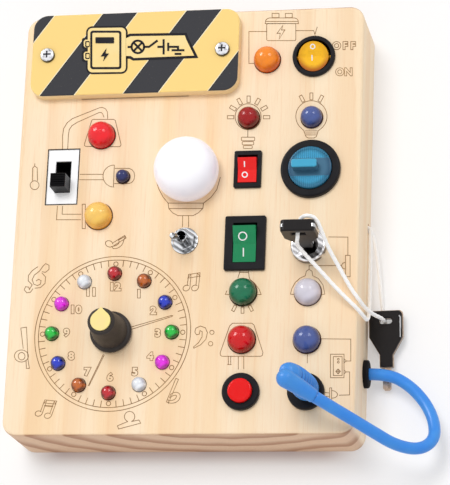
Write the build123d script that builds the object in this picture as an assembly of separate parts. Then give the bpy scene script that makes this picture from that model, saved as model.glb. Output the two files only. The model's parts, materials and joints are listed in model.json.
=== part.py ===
from build123d import *
from math import cos, pi, radians, sin, sqrt, tan
import os

# A wooden busy board, lying on its back: X to its right, Y to its top edge, Z out of its face.
# The origin is the centre of the back face. Millimetres throughout.

# Board
board_width = 190.0
board_height = 239.0
board_thickness = 42.0
board_corner = 8.0
face_edge_round = 1.6
back_edge_round = 1.0
wall = 8.0
skin = 6.0
cavity_corner = 5.0
half_width = board_width / 2
half_height = board_height / 2


def on_face(across, up):
    """A place on the face, as shares of its half width and half height."""
    return across * half_width, up * half_height


# Back panel and its screws
panel_thickness = 3.5
panel_ledge = 3.0
panel_gap = 0.3
boss_radius = 6.0
boss_inset_x = 11.0
boss_inset_y = 13.0
left_boss_shares = (0.51, -0.13)
right_boss_shares = (0.61, -0.455)
wood_screw_radius = 1.6
wood_screw_length = 16.0
wood_screw_head_radius = 3.0
wood_screw_head_height = 1.6
screw_recess = 0.4
screw_fit = 0.05
head_gap = 0.3

# Hazard plate over the battery pocket
plate_width = 117.0
plate_height = 48.0
plate_x, plate_y = -0.33 * half_width, half_height - plate_height / 2 - 0.9
plate_thickness = 6.0
plate_corner = 8.0
plate_screw_x = 49.4
plate_screw_radius = 2.0
plate_screw_length = 18.0
plate_screw_head_radius = 4.1
plate_screw_head_height = 2.4
plate_boss_radius = 6.5
plate_boss_depth = 22.0

# Battery tray
tray_drop = 3.2
tray_length = 56.0
tray_width = 38.0
tray_depth = 14.5
tray_wall = 1.5
tray_lip = 2.0
tray_lip_thickness = 1.4
tray_gap = 0.3
tray_drop_in = 0.1
cell_radius = 5.25
cell_length = 43.7
cell_nub = 0.8
cell_nub_radius = 1.9
cell_pitch = 11.5
contact_thickness = 0.5
contact_size = 8.0
spring_wire = 0.5

# Lamps: x, y, lens radius
lens_fit = 0.3
lens_rise = 2.0
lens_wall = 1.2
lens_lip = 1.6
lens_lip_thickness = 1.5
circuit_thickness = 1.6
led_radius = 2.5
led_height = 5.0
red_lamps = [(*on_face(-0.513, 0.406), 7.4), (*on_face(0.355, -0.571), 7.3), (*on_face(0.348, 0.470), 5.8)]
blue_lamps = [(*on_face(0.713, 0.464), 5.8), (*on_face(0.723, -0.575), 7.2), (*on_face(-0.374, 0.204), 3.6)]
orange_lamps = [(*on_face(0.444, 0.749), 7.1)]
yellow_lamps = [(*on_face(-0.505, 0.018), 7.4)]
green_lamps = [(*on_face(0.353, -0.353), 7.3)]
white_lamps = [(*on_face(0.720, -0.358), 7.1)]
globe_x, globe_y = on_face(0.013, 0.212)
globe_radius = 17.6
globe_rise = 8.0
globe_neck_radius = 14.0

# Clock
clock_x, clock_y = on_face(-0.393, -0.531)
clock_ring_radius = 33.0
clock_led_radius = 3.8
clock_led_rise = 1.2
clock_led_lip = 0.8
clock_circuit_outer = 38.5
clock_circuit_inner = 20.0
clock_colours = ("red", "orange", "blue", "green", "magenta", "white")

# Rocker switches
rocker_tilt = 11.0
rocker_pivot_drop = 1.5
rocker_pin_radius = 1.2
rocker_pin_reach = 1.0
rocker_skirt = 1.2
rocker_foot_depth = 4.6
rocker_foot_share = 0.4
rocker_side_gap = 0.35
rocker_end_gap = 0.35
running_fit = 0.06
housing_fit = 0.3
housing_inset = 1.3
rocker_housing_depth = 19.0
rocker_pocket_depth = 10.0
red_rocker_x, red_rocker_y = on_face(0.354, 0.223)
red_bezel = (15.0, 21.0, 2.0)
red_key = (10.2, 13.6)
green_rocker_x, green_rocker_y = on_face(0.355, -0.126)
green_bezel = (22.2, 30.2, 2.4)
green_key = (12.4, 19.8)
round_rocker_x, round_rocker_y = on_face(0.715, 0.759)
round_bezel_radius = 11.7
round_bezel_height = 2.2
round_key_radius = 8.3
round_housing_radius = 10.3

# Rotary switch with a grip bar
rotary_x, rotary_y = on_face(0.716, 0.217)
rotary_ring_radius = 16.2
rotary_ring_height = 3.2
rotary_opening_radius = 12.2
rotary_housing_radius = 13.4
rotary_housing_depth = 21.0
rotary_recess = 3.0
rotary_knob_radius = 11.85
rotary_knob_rise = 4.6
rotary_grip = (13.8, 4.6, 7.4)
rotary_grip_offset = -2.0
rotary_shaft_radius = 3.0
rotary_band = 5.2
rotary_groove = 0.45
rotary_groove_pitch = 1.1
rotary_groove_depth = 0.5

# Toggle switch
toggle_x, toggle_y = on_face(0.004, -0.107)
toggle_heading = 36.0
toggle_tilt = 15.0
toggle_bushing_radius = 3.2
toggle_bushing_rise = 9.8
toggle_bore_top = 2.65
toggle_pivot_rise = 5.8
toggle_washer_radius = 7.4
toggle_washer_thickness = 0.8
toggle_nut_flats = 10.8
toggle_nut_height = 2.3
toggle_lever_length = 16.0
toggle_lever_root = 1.15
toggle_lever_tip = 1.7
toggle_body = (8.0, 13.0, 11.0)

# Slide switch with three places
slide_x, slide_y = on_face(-0.733, 0.213)
slide_plate = (17.6, 31.8, 1.2)
slide_plate_drop = 0.4
slide_plate_gap = 0.35
slide_lever = (8.4, 7.8, 11.0)
slide_step = 5.0
slide_slot_gap = 0.25
slide_body_depth = 12.0
slide_flange = 3.0
slide_flange_thickness = 2.0

# Selector in the middle of the clock
selector_body_radius = 14.0
selector_body_depth = 13.0
selector_bushing_radius = 4.5
selector_bushing_rise = 4.6
selector_nut_flats = 12.0
selector_nut_height = 2.2
selector_shaft_radius = 3.0
selector_shaft_rise = 19.0
knob_gap = 0.8
knob_skirt_radius = 11.3
knob_skirt_height = 2.8
knob_body_radius = 9.6
knob_top_radius = 7.4
knob_height = 24.6
knob_hollow_radius = 8.4
knob_hollow_height = 6.0
cap_radius = 5.4
cap_point = 7.4
cap_thickness = 1.0

# Push button
button_x, button_y = 0.362 * half_width, 22.9 - half_height
button_bezel_radius = 10.0
button_bezel_height = 3.0
button_barrel_radius = 8.3
button_barrel_depth = 18.0
button_cap_radius = 6.5
button_cap_rise = 5.4
button_travel = 2.5
button_gap = 0.2
button_lip = 0.8
button_lip_thickness = 1.4

# Key switch
lock_x, lock_y = on_face(0.717, -0.144)
lock_ring_radius = 9.5
lock_ring_height = 3.4
lock_barrel_radius = 7.2
lock_barrel_depth = 24.0
core_radius = 5.5
core_depth = 19.4
core_drop = 0.4
key_slot_gap = 0.2
key_top_rise = 38.5
key_width = 18.6
key_straight = 14.5
key_taper = 9.5
key_neck_width = 7.6
key_neck_length = 7.0
key_plate_thickness = 1.8
key_blade_width = 4.4
key_blade_length = 12.5
key_shell_thickness = 2.2
key_shell_inset = 0.45
key_hole_width = 7.0
key_hole_height = 3.2
key_hole_drop = 6.0
key_corner = 2.2

# Spare key, lying beside the board with its head over the string
spare_x, spare_y, spare_z = half_width + 10.4, -0.414 * half_height, 5.9
spare_turn = 1.5
spare_dip = 5.0

# Jack, plug and its cable
jack_x, jack_y = 0.727 * half_width, 22.6 - half_height
jack_flange_radius = 9.8
jack_flange_height = 3.2
jack_barrel_radius = 6.6
jack_barrel_depth = 24.0
jack_floor = 1.5
plug_pin_radius = 2.95
plug_pin_length = 20.0
plug_fit = 0.05
plug_seat = 0.2
plug_base_radius = 7.6
plug_top_radius = 6.4
plug_rise = 37.6
plug_rib_count = 7
plug_rib_pitch = 2.7
plug_rib_height = 1.3
plug_rib_depth = 0.6
boot_radius = 4.2
boot_length = 16.5
cable_radius = 3.2
cable_seat = 1.5
grommet_y, grommet_z = 39.6 - half_height, 11.5
grommet_radius = 7.6
grommet_proud = 2.8
grommet_sleeve_radius = 4.9

# String
string_radius = 1.1
string_hole_y, string_hole_z = spare_y + 51.9, 8.6
string_hole_radius = 2.8
string_cut_inner = 11.4
string_cut_outer = 20.0
string_cut_gap = 0.2
string_inset = 3.5
knot_radius = 3.5
knot_length = 4.2

# Panel nuts under the face
nut_height = 3.0
nut_reach = 2.6

# Solder terminals under the switches
terminal_width = 3.0
terminal_thickness = 0.8
terminal_length = 7.5
terminal_share = 0.28

# Wires between the lamps and the switches
wire_radius = 0.7
wire_drop = 3.6
wire_bend = 1.6

tray_x, tray_y = plate_x, plate_y - tray_drop
skin_floor = board_thickness - skin
lip_floor = skin_floor - lens_lip_thickness
circuit_floor = lip_floor - circuit_thickness


def at(x, y, z, shape):
    return Pos(x, y, z) * shape


def column(x, y, z0, z1, radius):
    return Pos(x, y, (z0 + z1) / 2) * Cylinder(radius, z1 - z0)


def block(x, y, z0, z1, width, height):
    return Pos(x, y, (z0 + z1) / 2) * Box(width, height, z1 - z0)


def rounded_block(x, y, z0, z1, width, height, corner):
    outline = Pos(x, y, z0) * RectangleRounded(width, height, corner)
    return extrude(outline, amount=z1 - z0)


def hexagon(x, y, z0, z1, flats):
    outline = Pos(x, y, z0) * RegularPolygon(flats / 2, 6, major_radius=False)
    return extrude(outline, amount=z1 - z0)


def above(x, y, z, radius):
    """The room over a height, wide and tall enough for a dome of this radius."""
    return block(x, y, z, z + 4 * radius, 4 * radius, 4 * radius)


def turned(x, y, outline):
    """A solid of revolution about the upright axis at x, y, from (radius, height) points."""
    face = Plane.XZ * make_face(Polyline(*outline, close=True))
    return Pos(x, y, 0) * revolve(face, Axis.Z)


def capsule_up(x, y, z0, z1, radius):
    """An upright rod with a half ball on its upper end, which stands at z1."""
    return column(x, y, z0, z1 - radius, radius) + at(x, y, z1 - radius, Sphere(radius))


def write(name, *solids):
    shapes = []
    for shape in solids:
        shapes += list(shape.solids())
    export_step(Compound(children=shapes), f"parts/{name}.step")


def boss_places():
    places = []
    for side, shares in ((-1, left_boss_shares), (1, right_boss_shares)):
        rows = [half_height - boss_inset_y] + [share * half_height for share in shares] + [boss_inset_y - half_height]
        places += [(side * (half_width - boss_inset_x), y) for y in rows]
    return places


def plate_screw_places():
    return [(plate_x + side * plate_screw_x, plate_y) for side in (-1, 1)]


def all_lamps():
    return red_lamps + blue_lamps + orange_lamps + yellow_lamps + green_lamps + white_lamps


def clock_places():
    """The twelve lamps of the clock, from the one at 12 and clockwise."""
    angles = [radians(90 - 30 * hour) for hour in range(12)]
    return [(clock_x + clock_ring_radius * cos(a), clock_y + clock_ring_radius * sin(a)) for a in angles]


# Rocker sizes that the face openings share with the switches
def rocker_half_sweep(half_length):
    rise = rocker_top() + half_length * tan(radians(rocker_tilt))
    return half_length * cos(radians(rocker_tilt)) + rise * sin(radians(rocker_tilt))


def rocker_top():
    """From the pivot up to the middle of the key's upper side."""
    return rocker_pivot_drop + 2.1


def make_board():
    board = Box(board_width, board_height, board_thickness)
    board = fillet(board.edges().filter_by(Axis.Z), board_corner)
    board = Pos(0, 0, board_thickness / 2) * board
    board = fillet(board.edges().group_by(Axis.Z)[-1], face_edge_round)
    board = fillet(board.edges().group_by(Axis.Z)[0], back_edge_round)

    inner_width = board_width - 2 * wall
    inner_height = board_height - 2 * wall
    cavity = rounded_block(0, 0, 0, skin_floor, inner_width, inner_height, cavity_corner)
    for x, y in boss_places():
        cavity -= column(x, y, 0, skin_floor, boss_radius)
    for x, y in plate_screw_places():
        cavity -= column(x, y, skin_floor - plate_boss_depth + skin, skin_floor, plate_boss_radius)
    board -= cavity
    ledge = panel_ledge - panel_gap
    board -= rounded_block(
        0, 0, 0, panel_thickness,
        inner_width + 2 * ledge + 2 * panel_gap,
        inner_height + 2 * ledge + 2 * panel_gap,
        cavity_corner + panel_ledge,
    )
    pilot_depth = screw_recess + wood_screw_head_height + wood_screw_length + 1
    for x, y in boss_places():
        board -= column(x, y, 0, pilot_depth, wood_screw_radius + screw_fit)

    for x, y in plate_screw_places():
        tip = board_thickness + plate_thickness - plate_screw_length - 1
        board -= column(x, y, tip, board_thickness, plate_screw_radius + screw_fit)
    opening = (tray_length + 2 * tray_gap, tray_width + 2 * tray_gap)
    board -= block(tray_x, tray_y, skin_floor - 1, board_thickness + 1, *opening)
    rebate = [size + 2 * tray_lip for size in opening]
    rebate_floor = board_thickness - tray_drop_in - tray_lip_thickness
    board -= block(tray_x, tray_y, rebate_floor, board_thickness + 1, *rebate)

    for x, y, radius in all_lamps():
        board -= column(x, y, skin_floor - 1, board_thickness + 1, radius + lens_fit)
    board -= column(globe_x, globe_y, skin_floor - 1, board_thickness + 1, globe_neck_radius + lens_fit)
    for x, y in clock_places():
        board -= column(x, y, skin_floor - 1, board_thickness + 1, clock_led_radius + lens_fit)

    for x, y, bezel in ((red_rocker_x, red_rocker_y, red_bezel), (green_rocker_x, green_rocker_y, green_bezel)):
        hole = [size - 2 * housing_inset + 2 * housing_fit for size in bezel[:2]]
        board -= block(x, y, skin_floor - 1, board_thickness + 1, *hole)
    for x, y, radius in (
        (round_rocker_x, round_rocker_y, round_housing_radius),
        (rotary_x, rotary_y, rotary_housing_radius),
        (toggle_x, toggle_y, toggle_bushing_radius),
        (clock_x, clock_y, selector_bushing_radius),
        (button_x, button_y, button_barrel_radius),
        (lock_x, lock_y, lock_barrel_radius),
        (jack_x, jack_y, jack_barrel_radius),
    ):
        board -= column(x, y, skin_floor - 1, board_thickness + 1, radius + housing_fit)
    slide_hole = [size + 2 * slide_plate_gap for size in slide_plate[:2]]
    board -= block(slide_x, slide_y, skin_floor - 1, board_thickness + 1, *slide_hole)

    side = Rot(0, 90, 0)
    bore = wall + 4
    board -= Pos(half_width, grommet_y, grommet_z) * side * Cylinder(grommet_sleeve_radius + 0.1, 2 * bore)
    board -= Pos(half_width, string_hole_y, string_hole_z) * side * Cylinder(string_hole_radius, 2 * bore)
    write("wooden_board", board)


def make_back_panel():
    width = board_width - 2 * wall + 2 * (panel_ledge - panel_gap)
    height = board_height - 2 * wall + 2 * (panel_ledge - panel_gap)
    panel = rounded_block(0, 0, 0, panel_thickness, width, height, cavity_corner + panel_ledge)
    screws = []
    for x, y in boss_places():
        head_top = screw_recess
        head_bottom = head_top + wood_screw_head_height
        panel -= column(x, y, -1, head_bottom, wood_screw_head_radius + head_gap)
        panel -= column(x, y, -1, panel_thickness + 1, wood_screw_radius + head_gap)
        screw = column(x, y, head_top, head_bottom, wood_screw_head_radius)
        screw += column(x, y, head_bottom, head_bottom + wood_screw_length, wood_screw_radius)
        slot = wood_screw_head_radius * 1.2
        screw -= block(x, y, head_top - 1, head_top + 0.8, slot, 0.7)
        screw -= block(x, y, head_top - 1, head_top + 0.8, 0.7, slot)
        screws.append(screw)
    write("back_panel", panel)
    write("back_panel_screws", *screws)


def make_hazard_plate():
    top = board_thickness + plate_thickness
    plate = rounded_block(plate_x, plate_y, board_thickness, top, plate_width, plate_height, plate_corner)
    plate = fillet(plate.edges().group_by(Axis.Z)[-1], 0.8)
    screws = []
    for x, y in plate_screw_places():
        plate -= column(x, y, board_thickness - 1, top + 1, plate_screw_radius + head_gap)
        head = column(x, y, top, top + plate_screw_head_height, plate_screw_head_radius)
        head = fillet(head.edges().group_by(Axis.Z)[-1], 1.6)
        screw = head + column(x, y, top - plate_screw_length, top, plate_screw_radius)
        head_top = top + plate_screw_head_height
        screw -= block(x, y, head_top - 1.2, head_top + 1, plate_screw_head_radius, 0.9)
        screw -= block(x, y, head_top - 1.2, head_top + 1, 0.9, plate_screw_head_radius)
        screws.append(screw)
    write("hazard_plate", plate)
    write("hazard_plate_screws", *screws)


def make_battery_set():
    top = board_thickness - tray_drop_in
    lip_bottom = top - tray_lip_thickness
    floor = lip_bottom - tray_depth + tray_lip_thickness
    tray = block(tray_x, tray_y, floor, top, tray_length, tray_width)
    tray += block(tray_x, tray_y, lip_bottom, top, tray_length + 2 * tray_lip, tray_width + 2 * tray_lip)
    inside = (tray_length - 2 * tray_wall, tray_width - 2 * tray_wall)
    tray -= block(tray_x, tray_y, floor + tray_wall, top + 1, *inside)
    write("battery_tray", tray)

    cells = []
    contacts = []
    axis_z = floor + tray_wall + cell_radius + 0.1
    end = inside[0] / 2
    for row in (-1, 0, 1):
        y = tray_y + row * cell_pitch
        way = -1 if row == 0 else 1
        lay = Rot(0, 90, 0)
        nub_end = tray_x + way * (end - contact_thickness)
        body_end = nub_end - way * cell_nub
        cell = Pos(body_end - way * cell_length / 2, y, axis_z) * lay * Cylinder(cell_radius, cell_length)
        cell += Pos(body_end + way * cell_nub / 2, y, axis_z) * lay * Cylinder(cell_nub_radius, cell_nub)
        cells.append(cell)
        for side in (-1, 1):
            plate = Pos(tray_x + side * (end - contact_thickness / 2), y, axis_z)
            contacts.append(plate * Box(contact_thickness, contact_size, contact_size))
        cell_back = body_end - way * cell_length
        spring_back = tray_x - way * (end - contact_thickness)
        length = abs(cell_back - spring_back)
        cone = Cone(4.0, 2.4, length) - Cone(4.0 - spring_wire, 2.4 - spring_wire, length)
        spring = Pos((cell_back + spring_back) / 2, y, axis_z) * Rot(0, 90 * way, 0) * cone
        contacts.append(spring)
    write("battery_cells", *cells)
    write("battery_contacts", *contacts)


def lens(x, y, radius, rise):
    """A hollow dome with a lip that sits under the face."""
    centre = board_thickness + rise
    outer = column(x, y, skin_floor, centre, radius) + at(x, y, centre, Sphere(radius))
    outer &= above(x, y, lip_floor, radius)
    outer += column(x, y, lip_floor, skin_floor, radius + lens_lip)
    inner_radius = radius - lens_wall
    inner = column(x, y, lip_floor - 1, centre, inner_radius) + at(x, y, centre, Sphere(inner_radius))
    return outer - inner


def globe():
    centre = board_thickness + globe_rise
    inner_radius = globe_radius - lens_wall
    neck_inner = globe_neck_radius - lens_wall
    ball = at(globe_x, globe_y, centre, Sphere(globe_radius))
    ball &= above(globe_x, globe_y, board_thickness, globe_radius)
    hollow = at(globe_x, globe_y, centre, Sphere(inner_radius))
    hollow &= above(globe_x, globe_y, board_thickness + lens_wall, globe_radius)
    shell = ball + column(globe_x, globe_y, skin_floor, board_thickness, globe_neck_radius)
    shell += column(globe_x, globe_y, lip_floor, skin_floor, globe_neck_radius + lens_lip)
    shell -= hollow
    return shell - column(globe_x, globe_y, lip_floor - 1, board_thickness + lens_wall, neck_inner)


def make_lamps():
    groups = {
        "red_lamp_lenses": red_lamps,
        "blue_lamp_lenses": blue_lamps,
        "orange_lamp_lens": orange_lamps,
        "yellow_lamp_lens": yellow_lamps,
        "green_lamp_lens": green_lamps,
        "white_lamp_lens": white_lamps,
    }
    for name, lamps in groups.items():
        write(name, *[lens(x, y, radius, lens_rise) for x, y, radius in lamps])
    write("globe_lamp_lens", globe())

    boards = []
    leds = []
    for x, y, radius in all_lamps() + [(globe_x, globe_y, globe_neck_radius)]:
        boards.append(column(x, y, circuit_floor, lip_floor, radius + lens_lip))
        small = min(led_radius, radius - lens_wall - 0.6)
        leds.append(capsule_up(x, y, lip_floor, lip_floor + led_height, small))
    ring = column(clock_x, clock_y, circuit_floor, lip_floor, clock_circuit_outer)
    ring -= column(clock_x, clock_y, circuit_floor - 1, lip_floor + 1, clock_circuit_inner)
    boards.append(ring)
    write("circuit_boards", *boards)
    write("lamp_leds", *leds)

    places = clock_places()
    for index, colour in enumerate(clock_colours):
        pair = []
        for x, y in (places[index], places[index + 6]):
            led = capsule_up(x, y, skin_floor, board_thickness + clock_led_rise + clock_led_radius, clock_led_radius)
            led += column(x, y, lip_floor, skin_floor, clock_led_radius + clock_led_lip)
            pair.append(led)
        write(f"clock_leds_{colour}", *pair)


def rocker_key(x, y, width, length, trim=None):
    """A rocker key with a shallow V across its upper side, tilted with its lower end pressed."""
    half = length / 2
    top = rocker_top()
    raised = top + half * tan(radians(rocker_tilt))
    outline = Polyline(
        (-half, -rocker_skirt), (-half, raised), (0, top), (half, raised), (half, -rocker_skirt),
        (half * rocker_foot_share, -rocker_foot_depth), (-half * rocker_foot_share, -rocker_foot_depth),
        close=True,
    )
    key = extrude(Plane.YZ * make_face(outline), amount=width / 2, both=True)
    if trim:
        key &= Cylinder(trim, 8 * trim)
    pin_length = width + 2 * (rocker_side_gap + rocker_pin_reach)
    key += Rot(0, 90, 0) * Cylinder(rocker_pin_radius, pin_length)
    return Pos(x, y, board_thickness - rocker_pivot_drop) * Rot(rocker_tilt, 0, 0) * key


def rocker_pocket(x, y, width, length):
    """The room that a key swings in, with the holes for its pins."""
    pivot_z = board_thickness - rocker_pivot_drop
    opening_length = 2 * (rocker_half_sweep(length / 2) + rocker_end_gap)
    opening_width = width + 2 * rocker_side_gap
    bottom = board_thickness - rocker_pocket_depth
    pocket = block(x, y, bottom, board_thickness + 10, opening_width, opening_length)
    hole_length = width + 2 * (rocker_side_gap + rocker_pin_reach + 0.1)
    pin = Pos(x, y, pivot_z) * Rot(0, 90, 0) * Cylinder(rocker_pin_radius + running_fit, hole_length)
    return pocket + pin


def terminal(x, y, top):
    return block(x, y, top - terminal_length, top, terminal_width, terminal_thickness)


def make_rockers():
    terminals = []
    for name, x, y, bezel, key in (
        ("red", red_rocker_x, red_rocker_y, red_bezel, red_key),
        ("green", green_rocker_x, green_rocker_y, green_bezel, green_key),
    ):
        width, height, rise = bezel
        body = rounded_block(x, y, board_thickness, board_thickness + rise, width, height, 1.0)
        body = fillet(body.edges().group_by(Axis.Z)[-1], 0.6)
        floor = board_thickness - rocker_housing_depth
        body += block(x, y, floor, board_thickness, width - 2 * housing_inset, height - 2 * housing_inset)
        body -= rocker_pocket(x, y, *key)
        write(f"{name}_rocker_body", body)
        write(f"{name}_rocker_key", rocker_key(x, y, *key))
        for row in (-1, 0, 1):
            terminals.append(terminal(x, y + row * height * terminal_share, floor))

    x, y = round_rocker_x, round_rocker_y
    body = column(x, y, board_thickness, board_thickness + round_bezel_height, round_bezel_radius)
    body = fillet(body.edges().group_by(Axis.Z)[-1], 0.8)
    floor = board_thickness - rocker_housing_depth
    body += column(x, y, floor, board_thickness, round_housing_radius)
    sweep_radius = rocker_half_sweep(round_key_radius) + rocker_end_gap
    body -= column(x, y, board_thickness - rocker_pocket_depth, board_thickness + 10, sweep_radius)
    pivot_z = board_thickness - rocker_pivot_drop
    pin_half = round_key_radius + rocker_side_gap + rocker_pin_reach
    body -= Pos(x, y, pivot_z) * Rot(0, 90, 0) * Cylinder(rocker_pin_radius + running_fit, 2 * pin_half + 0.2)
    write("round_rocker_body", body)
    write("round_rocker_key", rocker_key(x, y, 2 * round_key_radius, 2 * round_key_radius, round_key_radius))
    for row in (-1, 1):
        terminals.append(terminal(x, y + row * round_key_radius * 0.54, floor))
    return terminals


def make_rotary():
    x, y = rotary_x, rotary_y
    top = board_thickness + rotary_ring_height
    floor = board_thickness - rotary_housing_depth
    ring = column(x, y, board_thickness, top, rotary_ring_radius)
    ring = fillet(ring.edges().group_by(Axis.Z)[-1], 1.2)
    body = ring + column(x, y, floor, board_thickness, rotary_housing_radius)
    recess_floor = board_thickness - rotary_recess
    body -= column(x, y, recess_floor, top + 1, rotary_opening_radius)
    shaft_end = floor + 5
    body -= column(x, y, shaft_end - 0.3, recess_floor + 1, rotary_shaft_radius + running_fit)
    write("rotary_switch_body", body)

    knob_top = board_thickness + rotary_knob_rise
    knob = column(x, y, recess_floor + 0.3, knob_top, rotary_knob_radius)
    knob = fillet(knob.edges().group_by(Axis.Z)[-1], 0.9)
    count = int(rotary_knob_radius / rotary_groove_pitch)
    for index in range(-count, count + 1):
        across = index * rotary_groove_pitch
        reach = sqrt(max(rotary_knob_radius ** 2 - across ** 2, 0)) - 1.6
        length = reach - rotary_band
        if length > 1:
            for side in (-1, 1):
                groove = Box(rotary_groove, length, rotary_groove_depth)
                middle = side * (rotary_band + length / 2)
                knob -= Pos(x + across, y + middle, knob_top - rotary_groove_depth / 2 + 0.01) * groove
    grip_length, grip_width, grip_height = rotary_grip
    grip = rounded_block(x + rotary_grip_offset, y, knob_top - 0.5, knob_top + grip_height, grip_length, grip_width, 1.2)
    grip = fillet(grip.edges().group_by(Axis.Z)[-1], 0.6)
    knob += grip
    knob += column(x, y, shaft_end, recess_floor + 0.5, rotary_shaft_radius)
    write("rotary_switch_knob", knob)
    return [terminal(x + side * rotary_housing_radius * 0.52, y, floor) for side in (-1, 0, 1)]


def make_toggle():
    place = Pos(toggle_x, toggle_y, 0) * Rot(0, 0, -toggle_heading)
    pivot_z = board_thickness + toggle_pivot_rise
    top = board_thickness + toggle_bushing_rise
    body = column(0, 0, skin_floor - 1, top, toggle_bushing_radius)
    width, length, depth = toggle_body
    floor = skin_floor - depth
    body += block(0, 0, floor, skin_floor, width, length)
    bore = turned(0, 0, [
        (0, pivot_z - 3.4), (1.75, pivot_z - 3.4), (1.75, pivot_z), (toggle_bore_top, top + 0.01), (0, top + 0.01),
    ])
    body -= bore
    write("toggle_body", place * body)

    washer = column(0, 0, board_thickness, board_thickness + toggle_washer_thickness, toggle_washer_radius)
    washer = fillet(washer.edges().group_by(Axis.Z)[-1], 0.3)
    nut_floor = board_thickness + toggle_washer_thickness
    nut = hexagon(0, 0, nut_floor, nut_floor + toggle_nut_height, toggle_nut_flats)
    nut = chamfer(nut.edges().group_by(Axis.Z)[-1], 0.4)
    hole = column(0, 0, board_thickness - 1, top, toggle_bushing_radius + 0.05)
    write("toggle_nut_and_washer", place * (washer - hole), place * (nut - hole))

    rod = turned(0, 0, [
        (0, 0), (toggle_lever_root, 0), (toggle_lever_tip, toggle_lever_length - 1.2),
        (toggle_lever_tip * 0.75, toggle_lever_length - 0.3), (toggle_lever_tip * 0.35, toggle_lever_length),
        (0, toggle_lever_length),
    ])
    lever = rod + Sphere(1.45) + Pos(0, 0, -1.3) * Cylinder(0.8, 2.6)
    write("toggle_lever", place * Pos(0, 0, pivot_z) * Rot(toggle_tilt, 0, 0) * lever)
    return [place * terminal(0, row * length * 0.34, floor) for row in (-1, 0, 1)]


def make_slide_switch():
    x, y = slide_x, slide_y
    width, height, thickness = slide_plate
    top = board_thickness - slide_plate_drop
    plate_bottom = top - thickness
    lever_width, lever_length, lever_rise = slide_lever
    travel = 2 * slide_step
    slot = (lever_width + 2 * slide_slot_gap, lever_length + travel + 2 * slide_slot_gap)
    plate = block(x, y, plate_bottom, top, width, height)
    plate -= block(x, y, plate_bottom - 1, top + 1, *slot)
    write("slide_switch_plate", plate)

    flange_bottom = skin_floor - slide_flange_thickness
    floor = flange_bottom - slide_body_depth
    body = block(x, y, skin_floor, plate_bottom, width, height)
    body += block(x, y, flange_bottom, skin_floor, width + 2 * slide_flange, height + 2 * slide_flange)
    body += block(x, y, floor, flange_bottom, width - 3, height - 3)
    body -= block(x, y, floor + 2, plate_bottom + 1, *slot)
    write("slide_switch_body", body)

    lever_y = y - slide_step
    lever = block(x, lever_y, floor + 2.3, top + lever_rise, lever_width, lever_length)
    lever = fillet(lever.edges().group_by(Axis.Z)[-1], 0.6)
    for index in range(5):
        ridge_y = lever_y + (index - 2) * 1.3
        lever -= block(x, ridge_y, top + lever_rise - 0.6, top + lever_rise + 1, lever_width + 1, 0.5)
    write("slide_switch_lever", lever)
    return [terminal(x, y + row * height * 0.25, floor) for row in (-1, 0, 1)]


def make_selector():
    x, y = clock_x, clock_y
    bushing_top = board_thickness + selector_bushing_rise
    floor = skin_floor - selector_body_depth
    body = column(x, y, floor, skin_floor, selector_body_radius)
    body += column(x, y, skin_floor, bushing_top, selector_bushing_radius)
    shaft_bottom = floor + 3
    body -= column(x, y, shaft_bottom - 0.2, bushing_top + 1, selector_shaft_radius + running_fit)
    write("selector_body", body)
    shaft_top = board_thickness + selector_shaft_rise
    write("selector_shaft", column(x, y, shaft_bottom, shaft_top, selector_shaft_radius))

    low = board_thickness + knob_gap
    skirt_top = low + knob_skirt_height
    high = board_thickness + knob_height
    knob = turned(x, y, [
        (0, low), (knob_skirt_radius - 0.6, low), (knob_skirt_radius, low + 0.6), (knob_skirt_radius, skirt_top - 0.8),
        (knob_skirt_radius - 0.8, skirt_top), (knob_body_radius, skirt_top + 0.4),
        (knob_top_radius, high - 1.0), (knob_top_radius - 1.0, high), (0, high),
    ])
    knob -= column(x, y, low - 1, low + knob_hollow_height, knob_hollow_radius)
    knob -= column(x, y, low - 1, shaft_top, selector_shaft_radius + 0.02)
    write("selector_knob", knob)
    disc = Pos(x, y, high) * Circle(cap_radius)
    side = cap_radius * cos(radians(38))
    rise = cap_radius * sin(radians(38))
    point = Pos(x, y, high) * make_face(Polyline((-side, rise), (0, cap_point), (side, rise), close=True))
    cap = extrude(disc + point, amount=cap_thickness)
    write("selector_knob_cap", cap)
    return [terminal(x + side * selector_body_radius * 0.57, y, floor) for side in (-1, 1)]


def make_push_button():
    x, y = button_x, button_y
    top = board_thickness + button_bezel_height
    floor = board_thickness - button_barrel_depth
    body = column(x, y, board_thickness, top, button_bezel_radius)
    body = fillet(body.edges().group_by(Axis.Z)[-1], 1.0)
    body += column(x, y, floor, board_thickness, button_barrel_radius)
    lip_top = board_thickness - 1.5
    body -= column(x, y, lip_top - 1, top + 1, button_cap_radius + button_gap)
    well_floor = lip_top - button_lip_thickness - button_travel - 0.5
    body -= column(x, y, well_floor, lip_top + 0.1, button_cap_radius + button_lip + button_gap)
    write("push_button_body", body)
    cap_top = board_thickness + button_cap_rise
    cap = column(x, y, lip_top - button_lip_thickness, cap_top, button_cap_radius)
    cap = fillet(cap.edges().group_by(Axis.Z)[-1], 1.0)
    cap += column(x, y, lip_top - button_lip_thickness, lip_top, button_cap_radius + button_lip)
    write("push_button_cap", cap)
    return [terminal(x + side * button_barrel_radius * 0.48, y, floor) for side in (-1, 1)]


def key_outline(width, neck_width, length, corner):
    """The bow of the key with its taper and neck, hanging down from its top edge at the origin."""
    half, neck = width / 2, neck_width / 2
    outline = Polyline(
        (-half, 0), (half, 0), (half, -key_straight), (neck, -key_straight - key_taper),
        (neck, -length), (-neck, -length), (-neck, -key_straight - key_taper), (-half, -key_straight),
        close=True,
    )
    face = make_face(outline)
    tops = face.vertices().group_by(Axis.Y)[-1]
    return fillet(tops, corner)


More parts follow.
